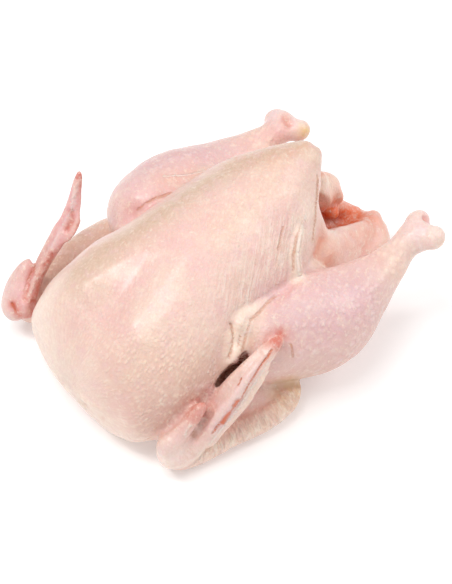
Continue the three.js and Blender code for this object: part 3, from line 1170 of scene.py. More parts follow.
MARKS: tuple[Mark, ...] = (
    # Right wing: torn slit along the hand and its pale lip, red tips, pale wrist, fatty outer edge.
    Mark(
        ((75, -53, 32), (76, -44, 39), (76, -35, 47), (74, -25, 56), (73, -19, 59)),
        1.3,
        Tint.BLOOD,
        0.3,
        -1.2,
    ),
    Mark(
        ((77, -58, 19), (77, -46, 30), (78, -36, 40), (77, -24, 49), (75, -14, 56)), 2.4, Tint.FAT, 1.0, 0.3
    ),
    Mark(((62, -46, 39), (63, -38, 47), (66, -27, 56), (68, -12, 62)), 2.6, Tint.ROSE, 0.7, 0.3),
    Mark(((73, -54, 30), (73, -44, 40), (73, -34, 49), (72, -24, 57)), 2.0, Tint.PEARL, 0.7, 0.5),
    Mark(((67, -44, 42), (68, -34, 51), (69, -22, 58)), 4.5, Tint.LILAC, 0.8),
    Mark(((72, -50, 32), (73, -40, 43), (72, -28, 54)), 4.0, Tint.LILAC, 0.85),
    Mark(((69, -10, 62), (69, -3, 64)), 4.6, Tint.BLOOD, 1.0),
    Mark(((67, -52, 34), (68, -38, 48), (69, -22, 60)), 3.2, Tint.ROSE, 0.8),
    Mark(((71, -64, 27), (71, -59, 33), (69, -53, 38)), 1.8, Tint.ROSE, 0.9, -1.2),
    Mark(((69, -20, 60), (70, -28, 56), (71, -36, 50), (72, -44, 43)), 2.2, Tint.ROSE, 0.5, -1.0),
    Mark(((65, -60, 38), (66, -54, 43)), 2.8, Tint.BLOOD, 0.7),
    Mark(((63, -66, 36), (62, -60, 38)), 3.0, Tint.ROSE, 0.9),
    Mark(((63, -80, 28), (65, -76, 31)), 4.0, Tint.ROSE, 0.9),
    Mark(((71, -58, 39), (70, -63, 37), (70, -68, 33)), 1.8, Tint.FAT, 0.9, 0.4),
    Mark(((66, -66, 37), (67, -59, 40)), 3.5, Tint.ROSE, 0.7),
    Mark(((72, 4, 18), (76, -4, 22)), 9, Tint.KHAKI_AND_SHADE, 1.0),
    Mark(((72, 4, 18), (76, -4, 22)), 9, Tint.YELLOW, 0.45),
    Mark(((64, -80, 30), (66, -66, 35)), 5, Tint.ROSE, 0.9),
    Mark(((63, -86, 14), (68, -80, 24)), 12, Tint.PEARL, 0.9),
    Mark(((63, -86, 12), (68, -80, 20)), 11, Tint.MILK_AND_PAINTED_LIGHT, 0.55),
    Mark(((67, -36, 19), (68, -12, 22), (73, -4, 33)), 9, Tint.ROSE, 0.9, -0.6),
    Mark(((73, -66, 15), (77, -48, 12), (79, -24, 13), (76, 2, 15)), 7, Tint.FAT, 1.0),
    Mark(((73, -66, 15), (77, -48, 12), (79, -24, 13), (76, 2, 15)), 8, Tint.WRINKLE, 1.0),
    Mark(((70, -32, 18), (74, -14, 20), (77, -4, 26)), 1.6, Tint.BLOOD, 0.35, -0.5),
    # Left wing: red crease at the wrist, pink hand with pale tendons and a red fold, fatty forearm with
    # painted brown shade.
    Mark(
        ((-61, -85, 26), (-57, -86, 24), (-55, -84, 20), (-53, -80, 21), (-54, -76, 27)),
        3.0,
        Tint.BLOOD,
        1.0,
        -1.2,
    ),
    Mark(
        ((-60, -82, 28), (-62, -72, 36), (-65, -48, 55), (-68, -34, 74), (-70, -30, 86)), 6.5, Tint.RAW, 1.0
    ),
    Mark(
        ((-67, -34, 82), (-65, -38, 73), (-64, -42, 67), (-64, -48, 58), (-63, -57, 49)),
        1.4,
        Tint.PEARL,
        0.9,
        0.8,
    ),
    Mark(((-63, -57, 49), (-63, -64, 43), (-61, -70, 38), (-59, -76, 34)), 1.4, Tint.PEARL, 0.9, 0.8),
    Mark(((-64, -41, 68), (-62, -42, 63), (-62, -46, 59)), 1.8, Tint.BLOOD, 1.0, -2.2),
    Mark(((-65, -34, 77), (-63, -36, 72)), 2.2, Tint.ROSE, 0.9),
    Mark(((-61, -58, 47), (-60, -66, 38), (-58, -71, 32), (-55, -76, 28)), 2.6, Tint.BLOOD, 0.9),
    Mark(
        ((-67, -66, 40), (-65, -68, 39), (-63, -72, 35), (-59, -76, 32), (-57, -80, 30)),
        1.6,
        Tint.BLOOD,
        1.0,
        -1.6,
    ),
    Mark(((-67, -45, 63), (-67, -51, 56)), 2.4, Tint.ROSE, 0.6),
    Mark(((-56, -79, 31),), 2.2, Tint.PEARL, 0.9, 0.4),
    Mark(((-66, -84, 27), (-70, -76, 36)), 6, Tint.PEARL, 0.4),
    Mark(((-70, -76, 36), (-68, -72, 38)), 3, Tint.ROSE, 0.8),
    Mark(((-68, -86, 14), (-64, -90, 18)), 7, Tint.PEARL, 0.9),
    Mark(((-69, -32, 82), (-70, -28, 88)), 5, Tint.BLOOD, 0.75),
    # Beige-brown and brown on the left forearm: partly its darker skin, partly painted shade beside the hand.
    Mark(((-80, -28, 24), (-75, -40, 24), (-68, -53, 24)), 9, Tint.KHAKI_AND_SHADE, 0.85),
    Mark(((-80, -28, 24), (-75, -40, 24), (-68, -53, 24)), 13, Tint.BROWN_AND_SHADE, 1.0),
    Mark(((-76, -32, 26), (-77, -20, 27), (-75, -6, 27)), 6, Tint.FAT, 0.8),
    # Brown painted shade on the forearm's inner face, between the hand and the breast.
    Mark(((-52, -64, 34), (-60, -40, 30), (-66, -14, 26)), 11, Tint.BROWN_AND_SHADE, 0.95),
    # Breast: pink in the groove and by the near wing, cream down the middle of the near side, beige-brown far
    # side with painted shade.
    Mark(((8, -56, 78), (19, -71, 72), (28, -84, 60)), 9, Tint.ROSE, 0.55),
    Mark(((0, -38, 88), (9, -12, 95), (8, 0, 97)), 11, Tint.ROSE, 0.5),
    Mark(((53, -80, 38), (62, -66, 34), (70, -48, 20)), 14, Tint.ROSE, 0.95),
    # Brown low on the near side, under the wing: painted shade.
    Mark(((59, -52, 48), (59, -64, 42), (57, -74, 38), (56, -80, 30)), 10, Tint.BROWN_AND_SHADE, 1.0),
    Mark(((61, -49, 42), (60, -60, 40), (58, -74, 30)), 7, Tint.RAW, 1.0),
    # Lilac-grey and brown beside the rolls: painted shade under them.
    Mark(((54, -32, 58), (57, -38, 54), (58, -44, 49)), 6, Tint.LILAC, 0.9),
    Mark(((54, -32, 58), (57, -38, 54), (58, -46, 49)), 8, Tint.BROWN_AND_SHADE, 0.4),
    Mark(((60, -74, 27),), 2.5, Tint.BLOOD, 0.5),
    Mark(((54, -37, 42), (57, -42, 39)), 4, Tint.RAW, 0.8),
    # Brown over the low near side of the breast: painted shade.
    Mark(((36, -86, 42), (50, -72, 52), (58, -46, 54)), 16, Tint.BROWN_AND_SHADE, 0.35),
    Mark(((17, -7, 93), (12, 20, 97), (10, 44, 98)), 9, Tint.FAT, 0.65),
    Mark(((40, -70, 66), (62, -44, 50), (60, -24, 56)), 18, Tint.FAT, 0.75),
    Mark(((36, -72, 66), (58, -50, 55), (66, -36, 40), (52, -80, 40)), 17, Tint.GOOSE, 1.0),
    Mark(((2, -86, 52), (0, -70, 66)), 20, Tint.GOOSE, 0.4),
    Mark(((13, 4, 96), (7, 17, 98), (3, 40, 99)), 10, Tint.GOOSE, 0.5),
    # Beige-brown band along the far side: partly its own colour, partly painted shade on the side turned from
    # the lights.
    Mark(
        ((-22, -60, 70), (-19, -29, 87), (-20, 5, 91), (-19, 25, 93), (-13, 47, 96), (-6, 66, 97)),
        13,
        Tint.KHAKI_AND_SHADE,
        1.0,
    ),
    # Flank: stretch wrinkles, rolls, the crease along the thigh and the fine second ridge.
    Mark(((30, 30, 80), (40, 8, 74), (42, -8, 73)), 17, Tint.STRETCH, 1.0),
    Mark(((44, 24, 62), (50, 10, 65), (53, -8, 65), (56, -22, 58)), 3.0, Tint.ROSE, 0.8, -1.0),
    Mark(((50, -12, 66), (55, -20, 57), (57, -27, 46)), 8, Tint.FAT, 0.8),
    Mark(((60, -44, 44), (60, -38, 48)), 3.5, Tint.ROSE, 0.6),
    Mark(((49, -22, 67), (54, -24, 63), (56, -27, 59), (58, -31, 55)), 1.3, Tint.NONE, 0, -1.6),
    Mark(((53, -14, 63), (55, -16, 62.5)), 1.6, Tint.PEARL, 1.0, 1.4),
    # Pale cream on the ridge and the rolls: their own cream, with painted light that lifts them out of shade.
    Mark(((24, 49, 80), (31, 38, 77), (36, 33, 74), (41, 30, 68), (44, 27, 61)), 5, Tint.MILK_AND_PAINTED_LIGHT, 0.8, 0.6),
    Mark(((50, -14, 66), (53, -20, 62), (58, -27, 54)), 6, Tint.MILK_AND_PAINTED_LIGHT, 0.55),
    Mark(((13, 66, 86), (18, 60, 78), (23, 56, 73), (26, 53, 67), (30, 49, 63)), 1.6, Tint.FAT, 0.6, 1.0),
    # Right leg: lilac over the muscle, painted brown shade underneath, pale hock with a red notch and a yellow
    # scrap.
    Mark(((60, -4, 58), (70, 20, 60), (70, 44, 58)), 20, Tint.LILAC, 1.0),
    Mark(((62, 4, 62), (68, 14, 60)), 12, Tint.LILAC, 0.5),
    Mark(((60, 8, 64), (66, 40, 62)), 8, Tint.PEARL, 0.35),
    Mark(((58, 94, 60), (60, 108, 62)), 11, Tint.PEARL, 0.8),
    Mark(((56, 107, 65), (59, 108, 62)), 2.2, Tint.BLOOD, 0.75, -1.8),
    Mark(((72, 104, 60),), 3.0, Tint.YELLOW, 0.5),
    Mark(((72, -2, 46), (78, 20, 34)), 13, Tint.FAT, 0.25),
    # Brown along the underside of the right leg: painted shade.
    Mark(((66, 4, 30), (82, 16, 26), (82, 36, 30), (74, 60, 34)), 11, Tint.BROWN_AND_SHADE, 0.7),
    Mark(((70, -3, 60), (72, -2, 51)), 5, Tint.ROSE, 0.8),
    Mark(((66, 92, 54), (70, 97, 56), (72, 103, 55)), 4, Tint.LILAC, 0.4),
    Mark(((70, 92, 50), (72, 104, 52)), 9, Tint.MILK_AND_PAINTED_LIGHT, 0.7),
    Mark(((51, 98, 61), (57, 96, 64)), 5, Tint.ROSE, 0.35),
    # Left leg: lilac, peach web, pink pocket, hock with its patches.
    Mark(((-54, 20, 68), (-66, 16, 62), (-60, 44, 60)), 17, Tint.LILAC, 0.75),
    Mark(((-52, 12, 66), (-45, 30, 67), (-42, 14, 64)), 8, Tint.FLESH, 0.8),
    Mark(((-48, 18, 66), (-42, 30, 66)), 8, Tint.KHAKI_AND_SHADE, 0.8),
    Mark(((-48, -12, 62), (-42, -2, 63), (-38, 8, 65)), 5, Tint.BLOOD, 0.3, -1.6),
    Mark(((-60, 100, 54), (-50, 106, 55)), 9, Tint.PEARL, 0.9),
    Mark(((-55, 101, 57), (-51, 100, 56)), 2.6, Tint.BLOOD, 0.9, -2.2),
    Mark(((-52, 95, 55), (-49, 93, 53)), 6, Tint.RAW, 0.85),
    Mark(((-42, 106, 53), (-41, 109, 50), (-41, 110, 46)), 4.6, Tint.YELLOW, 1.0),
    # Neck end: small dark spots and wrinkles of the cut skin.
    Mark(((18, -95, 26),), 2.2, Tint.BLOOD, 0.8, -1.4),
    Mark(((31, -92, 27),), 1.8, Tint.BLOOD, 0.4, -0.8),
    Mark(((16, -95, 31), (30, -93, 34)), 2.4, Tint.FAT, 0.4, 0.8),
    Mark(((-34, -76, 44), (-20, -88, 34), (6, -94, 26), (40, -88, 22)), 16, Tint.MILK_AND_PAINTED_LIGHT, 0.9),
    Mark(((-40, -72, 48), (-30, -82, 40)), 11, Tint.MILK_AND_PAINTED_LIGHT, 0.5),
    Mark(((-14, -84, 16), (10, -89, 17), (34, -84, 15)), 1.6, Tint.NONE, 0, -0.9),
    Mark(((-20, -80, 12), (6, -86, 11), (38, -76, 10)), 1.6, Tint.NONE, 0, 0.9),
    # Belly: deep orange inside, flesh on the flaps, the pale lump and fatty rim.
    Mark(((4, 102, 26), (2, 86, 38), (1, 66, 43), (0, 52, 44)), 13, Tint.HOLLOW, 1.0),
    Mark(((-2, 87, 24), (0, 90, 22), (6, 88, 22)), 6, Tint.BLOOD, 0.9),
    Mark(((0, 96, 27), (2, 92, 22), (6, 94, 20)), 3, Tint.BLOOD, 0.5),
    Mark(((-2, 89, 25), (-1, 92, 23)), 3, Tint.SHADE, 0.5),
    Mark(((-8, 92, 34), (-6, 97, 30)), 5, Tint.YELLOW, 0.35),
    # Pale cream under the thigh: painted light that lifts the skin out of the thigh's shade.
    Mark(((27, 55, 57), (30, 56, 51), (34, 58, 45)), 9, Tint.MILK_AND_PAINTED_LIGHT, 0.8),
    # Pale cream on the top of the far flap: its own pale skin, partly painted light in its shade.
    Mark(((-5, 78, 62), (0, 80, 68), (0, 88, 58)), 8, Tint.MILK_AND_PAINTED_LIGHT, 0.7),
    Mark(((14, 84, 44), (12, 96, 34), (8, 106, 26)), 5, Tint.MILK_AND_PAINTED_LIGHT, 0.6),
    Mark(((22, 82, 40), (18, 94, 32), (13, 106, 25)), 12, Tint.FLESH, 0.6),
    Mark(((10, 112, 20), (14, 112, 12)), 8, Tint.FLESH, 0.9),
    # Cream along the far flap: its own fat, with painted light in its shade.
    Mark(((-3, 70, 68), (-3, 80, 62), (0, 88, 52), (2, 90, 44)), 9, Tint.FAT, 0.85),
    Mark(((2, 92, 52), (3, 91, 42)), 4, Tint.FLESH, 0.5),
    Mark(((4, 86, 41), (6, 86, 37)), 4.5, Tint.PEARL, 1.0),
    Mark(((-4, 104, 27), (1, 109, 24), (8, 112, 22)), 4, Tint.PEARL, 0.95),
    Mark(((1, 103, 25), (4, 106, 23)), 3, Tint.YELLOW, 0.5),
    Mark(((25, 81, 42), (28, 86, 32), (27, 90, 26)), 1.8, Tint.ROSE, 0.9, -0.5),
    Mark(((16, 110, 28), (20, 106, 24), (25, 98, 22)), 2.6, Tint.FLESH, 0.9, -0.8),
)


LINES: tuple[Line, ...] = (
    # Right wing: the tear along the hand in pieces, its frayed lip, the thumb's groove and folds.
    Line(((72, -14, 62), (73, -19, 59), (74, -25, 56), (75, -31, 52)), 0.95, Tint.TEAR),
    Line(((75, -31, 52), (76, -37, 46), (76, -43, 41), (75, -50, 34), (74, -55, 29)), 0.95, Tint.TEAR),
    Line(((76, -39.4, 45), (76, -41.6, 43)), 1.8, Tint.TEAR),
    Line(((76, -45, 39), (75, -49, 34)), 2.0, Tint.TEAR),
    Line(
        (
            (75, -18, 57),
            (76.5, -26, 52),
            (77.5, -32, 47),
            (78, -37, 43),
            (77.5, -42, 38),
            (77, -50, 30),
            (76, -58, 22),
        ),
        1.3,
        Tint.THREAD,
    ),
    Line(((71, -64, 28), (71, -60, 34), (68, -54, 38)), 0.95, Tint.CREASE),
    Line(((71, -33, 53), (72, -36, 51)), 0.95, Tint.TEAR),
    Line(((66, -58, 40), (68, -64, 37), (69, -69, 33)), 0.95, Tint.THREAD),
    Line(((70, -4, 62), (71, 0, 54), (74, -1, 48)), 0.95, Tint.CREASE),
    # Flank: three creases between the rolls, ridges with their shadows, thin brown stretch lines.
    Line(((49, -22, 67), (54, -24, 63), (56, -27, 59), (58, -31, 55)), 0.95, Tint.CREASE),
    Line(((54, -20, 62), (57, -24, 58), (57, -26, 54), (56, -26, 47)), 0.95, Tint.CREASE),
    Line(
        ((47, 9, 64), (49, 1, 65), (51, -5, 65), (52, -12, 65), (54, -16, 62), (56, -18, 61), (59, -23, 56)),
        1.3,
        Tint.CREASE,
    ),
    Line(((25, 48, 80), (31, 38, 77), (36, 33, 74), (40, 30, 69), (43, 28, 63)), 1.5, Tint.THREAD),
    Line(((26, 45, 79), (32, 35, 77), (37, 29, 72), (40, 26, 66)), 1.3, Tint.CREASE),
    Line(((26, 31, 84), (30, 26, 81), (33, 22, 79)), 0.95, Tint.CREASE),
    Line(((25, 54, 71), (28, 51, 67), (30, 49, 64)), 0.95, Tint.CREASE),
    Line(((12, 67, 88), (19, 60, 79), (25, 54, 71)), 1.2, Tint.CREASE),
    # Left leg: the thin edge of the web and the crease under it.
    Line(((-54, 13, 68), (-51, 19, 67), (-47, 27, 66), (-43, 34, 66)), 0.95, Tint.THREAD),
    Line(((-48, -9, 61), (-46, -4, 65), (-45, 1, 66), (-44, 4, 66), (-43, 11, 66)), 1.1, Tint.CREASE),
    # Left wing: pale tendons along the hand and the groove by the thumb.
    Line(
        (
            (-69, -32, 83),
            (-67, -36, 75),
            (-65, -40, 67),
            (-65, -45, 59),
            (-65, -51, 51),
            (-64, -57, 45),
            (-62, -63, 40),
        ),
        0.95,
        Tint.THREAD,
    ),
    Line(((-62, -63, 40), (-61, -71, 34), (-58, -77, 30)), 0.95, Tint.THREAD),
    Line(((-66, -66, 40), (-64, -72, 35), (-61, -77, 31)), 0.95, Tint.CREASE),
    Line(((-62, -85, 26), (-58, -86, 24)), 1.1, Tint.TEAR),
    # Neck end: the cut edge of the skin.
    Line(((46, -87, 21), (52, -82, 21), (60, -78, 25)), 0.95, Tint.CREASE),
)


@dataclass(frozen=True)
class FormTint:
    """A tint that goes with whole forms, and may come in or fade along them; below 0 it is taken off."""

    forms: tuple[str, ...]
    tint: Tint
    strength: float
    edge: Span = (0.4, 3.0)
    ramps: tuple[Span, ...] = ()

    def weight(self, near: Nearness) -> Array:
        """The strength, times the form's cover, times a smooth step along the form for each ramp.

        Args:
            near: nearness to one of the forms.

        Returns:
            A weight for each point.
        """
        weight = self.strength * near.cover(*self.edge)
        for start, end in self.ramps:
            weight = weight * smoothstep(start, end, near.along)
        return weight


LEG_NAMES = ("right_leg", "left_leg")
FOREARM_NAMES = ("right_forearm", "left_forearm")
HAND_NAMES = ("right_hand", "left_hand", "right_thumb", "left_thumb")
FLAP_NAMES = ("near_flap", "near_curl", "far_wall", "tail")
FLANK_NAMES = ("flank_roll", "flank_roll_front", "flank_lobe", "flank_hanging", "flank_narrow", "flank_ridge")
FORM_TINTS: tuple[FormTint, ...] = (
    FormTint(FLAP_NAMES, Tint.FLESH, 0.45, ramps=((20, 55),)),
    FormTint(LEG_NAMES, Tint.GOOSE, 0.9, edge=(0.5, 4), ramps=((18, 40), (136, 118))),
    FormTint(LEG_NAMES, Tint.LILAC, 0.35, ramps=((110, 80),)),
    FormTint(FOREARM_NAMES, Tint.GOOSE, 0.35),
    FormTint(FOREARM_NAMES, Tint.FAT, 0.35),
    FormTint(("left_hand", "left_thumb", "left_forearm"), Tint.MILK_AND_PAINTED_LIGHT, -1.0),
    FormTint(HAND_NAMES, Tint.PEARL, 0.12),
    FormTint(HAND_NAMES, Tint.GOOSE, -0.8),
    FormTint(FLANK_NAMES, Tint.FAT, 0.6),
    FormTint(("trunk",), Tint.GOOSE, 0.25),
)
PATTERN_TINTS = (Tint.GOOSE, Tint.STRETCH, Tint.WRINKLE)
CHART = "skin_map"
CHARTED = "charted"


def laid_over(under: Array, weight: Array) -> Array:
    """A tint laid over what is there: 1 - (1 - under) * (1 - weight), with the weight kept from 0 to 1."""
    return 1 - (1 - under) * (1 - np.clip(weight, 0, 1))


@dataclass(frozen=True)
class Swell:
    """A soft undulation of the flesh: seeded noise of a height and a size in millimetres."""

    seed: int
    height: float
    size: float

    def at(self, points: Array) -> Array:
        """How far the swell lifts each point."""
        return self.height * LatticeNoise(self.seed).at(points / self.size)


@dataclass(frozen=True)
class StretchRelief:
    """Low wrinkles across the flank's stretched skin, about one middle. Lengths are millimetres."""

    seed: int = 11
    height: float = 0.35
    along: float = 2.6
    round: float = 26.0
    middle: Point = (38, 14, 75)
    reach: float = 24.0

    def at(self, points: Array, trunk: Nearness) -> Array:
        """Noise over the trunk's chart, drawn out round the girth, times exp(-(distance / reach)^2).

        Args:
            points: points in millimetres.
            trunk: nearness to the trunk.

        Returns:
            How far each point is lifted.
        """
        across = np.stack([trunk.along / self.along, trunk.round / self.round, 0 * trunk.along], 1)
        flank = np.exp(-(((points - self.middle) ** 2).sum(1)) / self.reach**2)
        return self.height * flank * LatticeNoise(self.seed).at(across)


@dataclass(frozen=True)
class GapShade:
    """Darkness in the narrow gap beside the right hand: full at its upper end, lighter towards the other."""

    edge: Span = (0.2, 1.1)
    lighter_from: Span = (17, 27)
    lightening: float = 0.6
    off_hand: Span = (0.3, 1.3)

    def at(self, wall: Nearness, hand: Nearness) -> Array:
        """The wall's cover times its fade along the gap, without the hand itself.

        Args:
            wall: nearness to the gap's hollow.
            hand: nearness to the hand beside it.

        Returns:
            Darkness from 0 to 1 for each point.
        """
        fade = 1 - self.lightening * smoothstep(*self.lighter_from, wall.along)
        return wall.cover(*self.edge) * fade * smoothstep(*self.off_hand, hand.clearance)


@dataclass(frozen=True)
class SeamFade:
    """Where the chart's patterns fade out: beside its seams and at the borders between forms."""

    jump: Span = (0.8, 2.0)
    rounds: int = 3
    spread: float = 2.2
    loss: float = 0.8

    def at(self, skin: SkinMesh, chart: Array) -> Array:
        """1 where the chart runs on smoothly, 0 where it jumps from a point to its neighbours.

        Args:
            skin: the skin.
            chart: the chart's rows, in millimetres.

        Returns:
            Weights from 0 to 1, which rise over a few points from each seam.
        """
        torn = smoothstep(*self.jump, np.abs(skin.neighbour_mean(chart) - chart).sum(1))
        for _ in range(self.rounds):
            beside = np.clip(self.spread * skin.neighbour_mean(torn), 0, 1)
            torn = np.maximum(torn, beside * self.loss)
        return 1 - torn


@dataclass
class Chicken:
    """The bird: its forms joined into one skin, smoothed where they meet, given relief and tints."""

    anatomy: Anatomy = Anatomy()
    rough_voxel: float = 1.0
    voxel: float = 1.22
    soft_forms: tuple[str, ...] = ("trunk", "tail", "belly_side", "near_flap", "far_wall")
    fillet: float = 1.3
    wide_fillet: float = 6.0
    first_rounds: int = 8
    fillet_rounds: int = 60
    even_rounds: int = 2
    last_smoothing: float = 0.6
    floor_gap: float = 0.02
    swells: tuple[Swell, ...] = (Swell(3, 0.8, 22), Swell(7, 0.35, 8))
    stretch: StretchRelief = StretchRelief()
    gap: GapShade = GapShade()
    seams: SeamFade = SeamFade()
    border: Span = (0.2, 2.2)
    leg_sparseness: float = 0.6
    chart_spacing: float = 40.0

    def build(self) -> bpy.types.Object:
        """Wrap every form in one skin and give it its relief and its attributes.

        Returns:
            The finished mesh object.
        """
        forms = self.anatomy.forms()
        body = self.wrap(forms)
        skin = MeshTools.read(body)
        LOG.info("skin of %d points and %d quads", len(skin.points), len(skin.quads))
        near = self.settle(skin, forms)
        normals = skin.normals()
        tints, lift = self.marked(skin.points, normals)
        skin.points += normals * (lift + self.relief(skin.points, near["trunk"]))[:, None]
        skin.smooth(1, self.last_smoothing, shrink=False)
        skin.points[:, 2] = np.maximum(skin.points[:, 2], self.floor_gap)
        MeshTools.write(body, skin.points)
        self.colour_by_form(tints, near)
        shade = self.gap.at(self.anatomy.armpit.near(skin.points), near["right_hand"])
        tints[Tint.SHADE] = np.maximum(tints[Tint.SHADE], shade)
        chart = self.skin_map(near)
        charted = self.seams.at(skin, chart)
        for tint in PATTERN_TINTS:
            tints[tint] *= charted
        for tint in Tint:
            if tint is not Tint.NONE:
                MeshTools.paint(body, tint.value, np.clip(tints[tint], 0, 1))
        MeshTools.paint(body, CHART, chart)
        MeshTools.paint(body, CHARTED, charted)
        body.data.polygons.foreach_set("use_smooth", np.ones(len(body.data.polygons), bool))
        return body

    def wrap(self, forms: dict[str, Form]) -> bpy.types.Object:
        """Wrap the forms in one skin of even quads, with the belly's hollow and the gap by the hand cut out.

        Args:
            forms: every form by name.

        Returns:
            The skin's object.
        """
        anatomy = self.anatomy
        body = self.shells("chicken_skin", forms, anatomy.cavity_walls)
        MeshTools.voxels(body, self.rough_voxel)
        MeshTools.hollow(body, MeshTools.put("belly_hollow", anatomy.hollow.shell()))
        last = (*anatomy.cavity_walls, *anatomy.over_armpit)
        limbs = [name for name in forms if name not in last]
        MeshTools.join(body, self.shells("limbs_and_folds", forms, limbs))
        MeshTools.voxels(body, self.rough_voxel)
        MeshTools.hollow(body, MeshTools.put("armpit_hollow", anatomy.armpit.shell()))
        MeshTools.join(body, self.shells("hand_over_armpit", forms, anatomy.over_armpit))
        MeshTools.voxels(body, self.voxel)
        return body

    @staticmethod
    def shells(name: str, forms: dict[str, Form], wanted: Sequence[str]) -> bpy.types.Object:
        """An object of some of the forms' shells."""
        return MeshTools.put(name, joined([forms[key].shell() for key in wanted]))

    @staticmethod
    def nearness(points: Array, forms: dict[str, Form]) -> dict[str, Nearness]:
        """How the points lie to each form, by name."""
        return {name: form.near(points) for name, form in forms.items()}

    def settle(self, skin: SkinMesh, forms: dict[str, Form]) -> dict[str, Nearness]:
        """Smooth the voxels' steps away and round the skin into fillets where forms meet.

        Args:
            skin: the skin, changed in place.
            forms: every form by name.

        Returns:
            Nearness of the settled points to each form.
        """
        skin.smooth(self.first_rounds, 1.0, shrink=False)
        fillets = self.junctions(self.nearness(skin.points, forms))
        skin.smooth(self.fillet_rounds, fillets, shrink=True)
        skin.smooth(self.even_rounds, 1.0, shrink=False)
        return self.nearness(skin.points, forms)

    def junctions(self, near: dict[str, Nearness]) -> Array:
        """Where two forms meet: exp(-(clearance off the second nearest / fillet)^2), wide between soft forms.

        Args:
            near: nearness to each form.

        Returns:
            Weights from 0 to 1 for the fillets.
        """
        clearance = np.stack([part.clearance for part in near.values()])
        widths = np.array([self.wide_fillet if name in self.soft_forms else self.fillet for name in near])
        first, second = np.argsort(clearance, axis=0)[:2]
        width = np.minimum(widths[first], widths[second])
        gap = np.maximum(clearance[second, np.arange(len(second))], 0)
        return np.exp(-((gap / width) ** 2)) * width / self.wide_fillet

    @staticmethod
    def marked(points: Array, normals: Array) -> tuple[dict[Tint, Array], Array]:
        """Tints and lifts of all marks and lines.

        Args:
            points: points in millimetres.
            normals: unit normals at the points.

        Returns:
            Strength of each tint at each point, and how far each point is lifted.
        """
        tints = {tint: np.zeros(len(points)) for tint in Tint}
        lift = np.zeros(len(points))
        for mark in MARKS:
            weight = mark.weight(points, normals)
            tints[mark.tint] = laid_over(tints[mark.tint], mark.strength * weight)
            lift += mark.lift * weight
        for line in LINES:
            tints[line.tint] = np.maximum(tints[line.tint], line.weight(points, normals))
        return tints, lift

    def relief(self, points: Array, trunk: Nearness) -> Array:
        """Broad and small undulations of soft flesh, and stretch wrinkles round the flank.

        Args:
            points: points in millimetres.
            trunk: nearness to the trunk.

        Returns:
            How far each point is lifted along its normal.
        """
        return sum(swell.at(points) for swell in self.swells) + self.stretch.at(points, trunk)

    def colour_by_form(self, tints: dict[Tint, Array], near: dict[str, Nearness]) -> None:
        """Add or take off the tints that go with whole forms, and end the patterns where forms meet.

        Args:
            tints: strength of each tint, changed in place.
            near: nearness to each form.
        """
        for given in FORM_TINTS:
            for name in given.forms:
                weight = given.weight(near[name])
                if given.strength > 0:
                    tints[given.tint] = laid_over(tints[given.tint], weight)
                else:
                    tints[given.tint] *= 1 + weight
        apart = self.apart(near)
        for tint in PATTERN_TINTS:
            tints[tint] *= apart
        tints[Tint.GOOSE] *= (1 - tints[Tint.SHADE]) * (1 - tints[Tint.HOLLOW])

    def apart(self, near: dict[str, Nearness]) -> Array:
        """How plainly each point belongs to one form: 0 where two forms meet, 1 away from there."""
        clearance = np.sort(np.stack([part.clearance for part in near.values()]), axis=0)
        return smoothstep(*self.border, clearance[1] - clearance[0])

    def skin_map(self, near: dict[str, Nearness]) -> Array:
        """Lengths along and round whichever form each point belongs to, for the rows of follicles.

        Args:
            near: nearness to each form.

        Returns:
            Rows of along, round and the form's number, in millimetres.
        """
        names = list(near)
        which = np.argmin(np.stack([near[name].clearance for name in names]), axis=0)
        sparse = np.array([self.leg_sparseness if name in LEG_NAMES else 1 for name in names])[:, None]
        along = np.stack([near[name].along for name in names]) * sparse
        girth = np.stack([near[name].round for name in names]) * sparse
        every = np.arange(len(which))
        return np.stack([along[which, every], girth[which, every], self.chart_spacing * which], 1)


# Numbers of the Mix node's colour sockets, whose names its other kinds of input share.
MIX_SHARE = 0
MIX_FIRST = 6
MIX_SECOND = 7
MIX_RESULT = 2


class Net:
    """A material's node tree, in which any node is made by one method."""

    def __init__(self, material: bpy.types.Material) -> None:
        """Start from the material's own empty tree."""
        material.use_nodes = True
        self.tree = material.node_tree
        self.tree.nodes.clear()

    def node(
        self,
        kind: str,
        settings: dict[str, Any] | None = None,
        inputs: dict[int | str, Any] | None = None,
        output: int | str = 0,
    ) -> "Value":
        """Add a node, set it up and wire its sockets.

        Args:
            kind: the node's type name.
            settings: the node's own properties, set first.
            inputs: values or wired sockets by input name or number.
            output: the output to hand back.

        Returns:
            The output as a value that takes part in arithmetic.
        """
        made = self.tree.nodes.new(kind)
        for name, setting in (settings or {}).items():
            setattr(made, name, setting)
        for name, given in (inputs or {}).items():
            if isinstance(given, Value):
                self.tree.links.new(given.socket, made.inputs[name])
            else:
                made.inputs[name].default_value = given
        return Value(self, made.outputs[output] if made.outputs else None)

    def attribute(self, name: str, output: str = "Fac") -> "Value":
        """A mesh attribute as a number or a vector."""
        return self.node("ShaderNodeAttribute", {"attribute_name": name}, output=output)

    def mask(self, tint: Tint) -> "Value":
        """A tint's strength as it is stored on the mesh."""
        return self.attribute(tint.value)

    def mix(self, share: "Value | float", first: "Value | Colour", second: "Value | Colour") -> "Value":
        """Mix two colours.

        Args:
            share: 0 for the first, 1 for the second.
            first: a colour or a wired one.
            second: a colour or a wired one.

        Returns:
            The mixed colour.
        """
        settings = {"data_type": "RGBA", "clamp_factor": True}
        inputs = {MIX_SHARE: share, MIX_FIRST: self._rgba(first), MIX_SECOND: self._rgba(second)}
        return self.node("ShaderNodeMix", settings, inputs, MIX_RESULT)

    @staticmethod
    def _rgba(colour: "Value | Colour") -> Any:
        """A plain colour with its alpha, or a wired one as it is."""
        return colour if isinstance(colour, Value) else (*colour, 1)


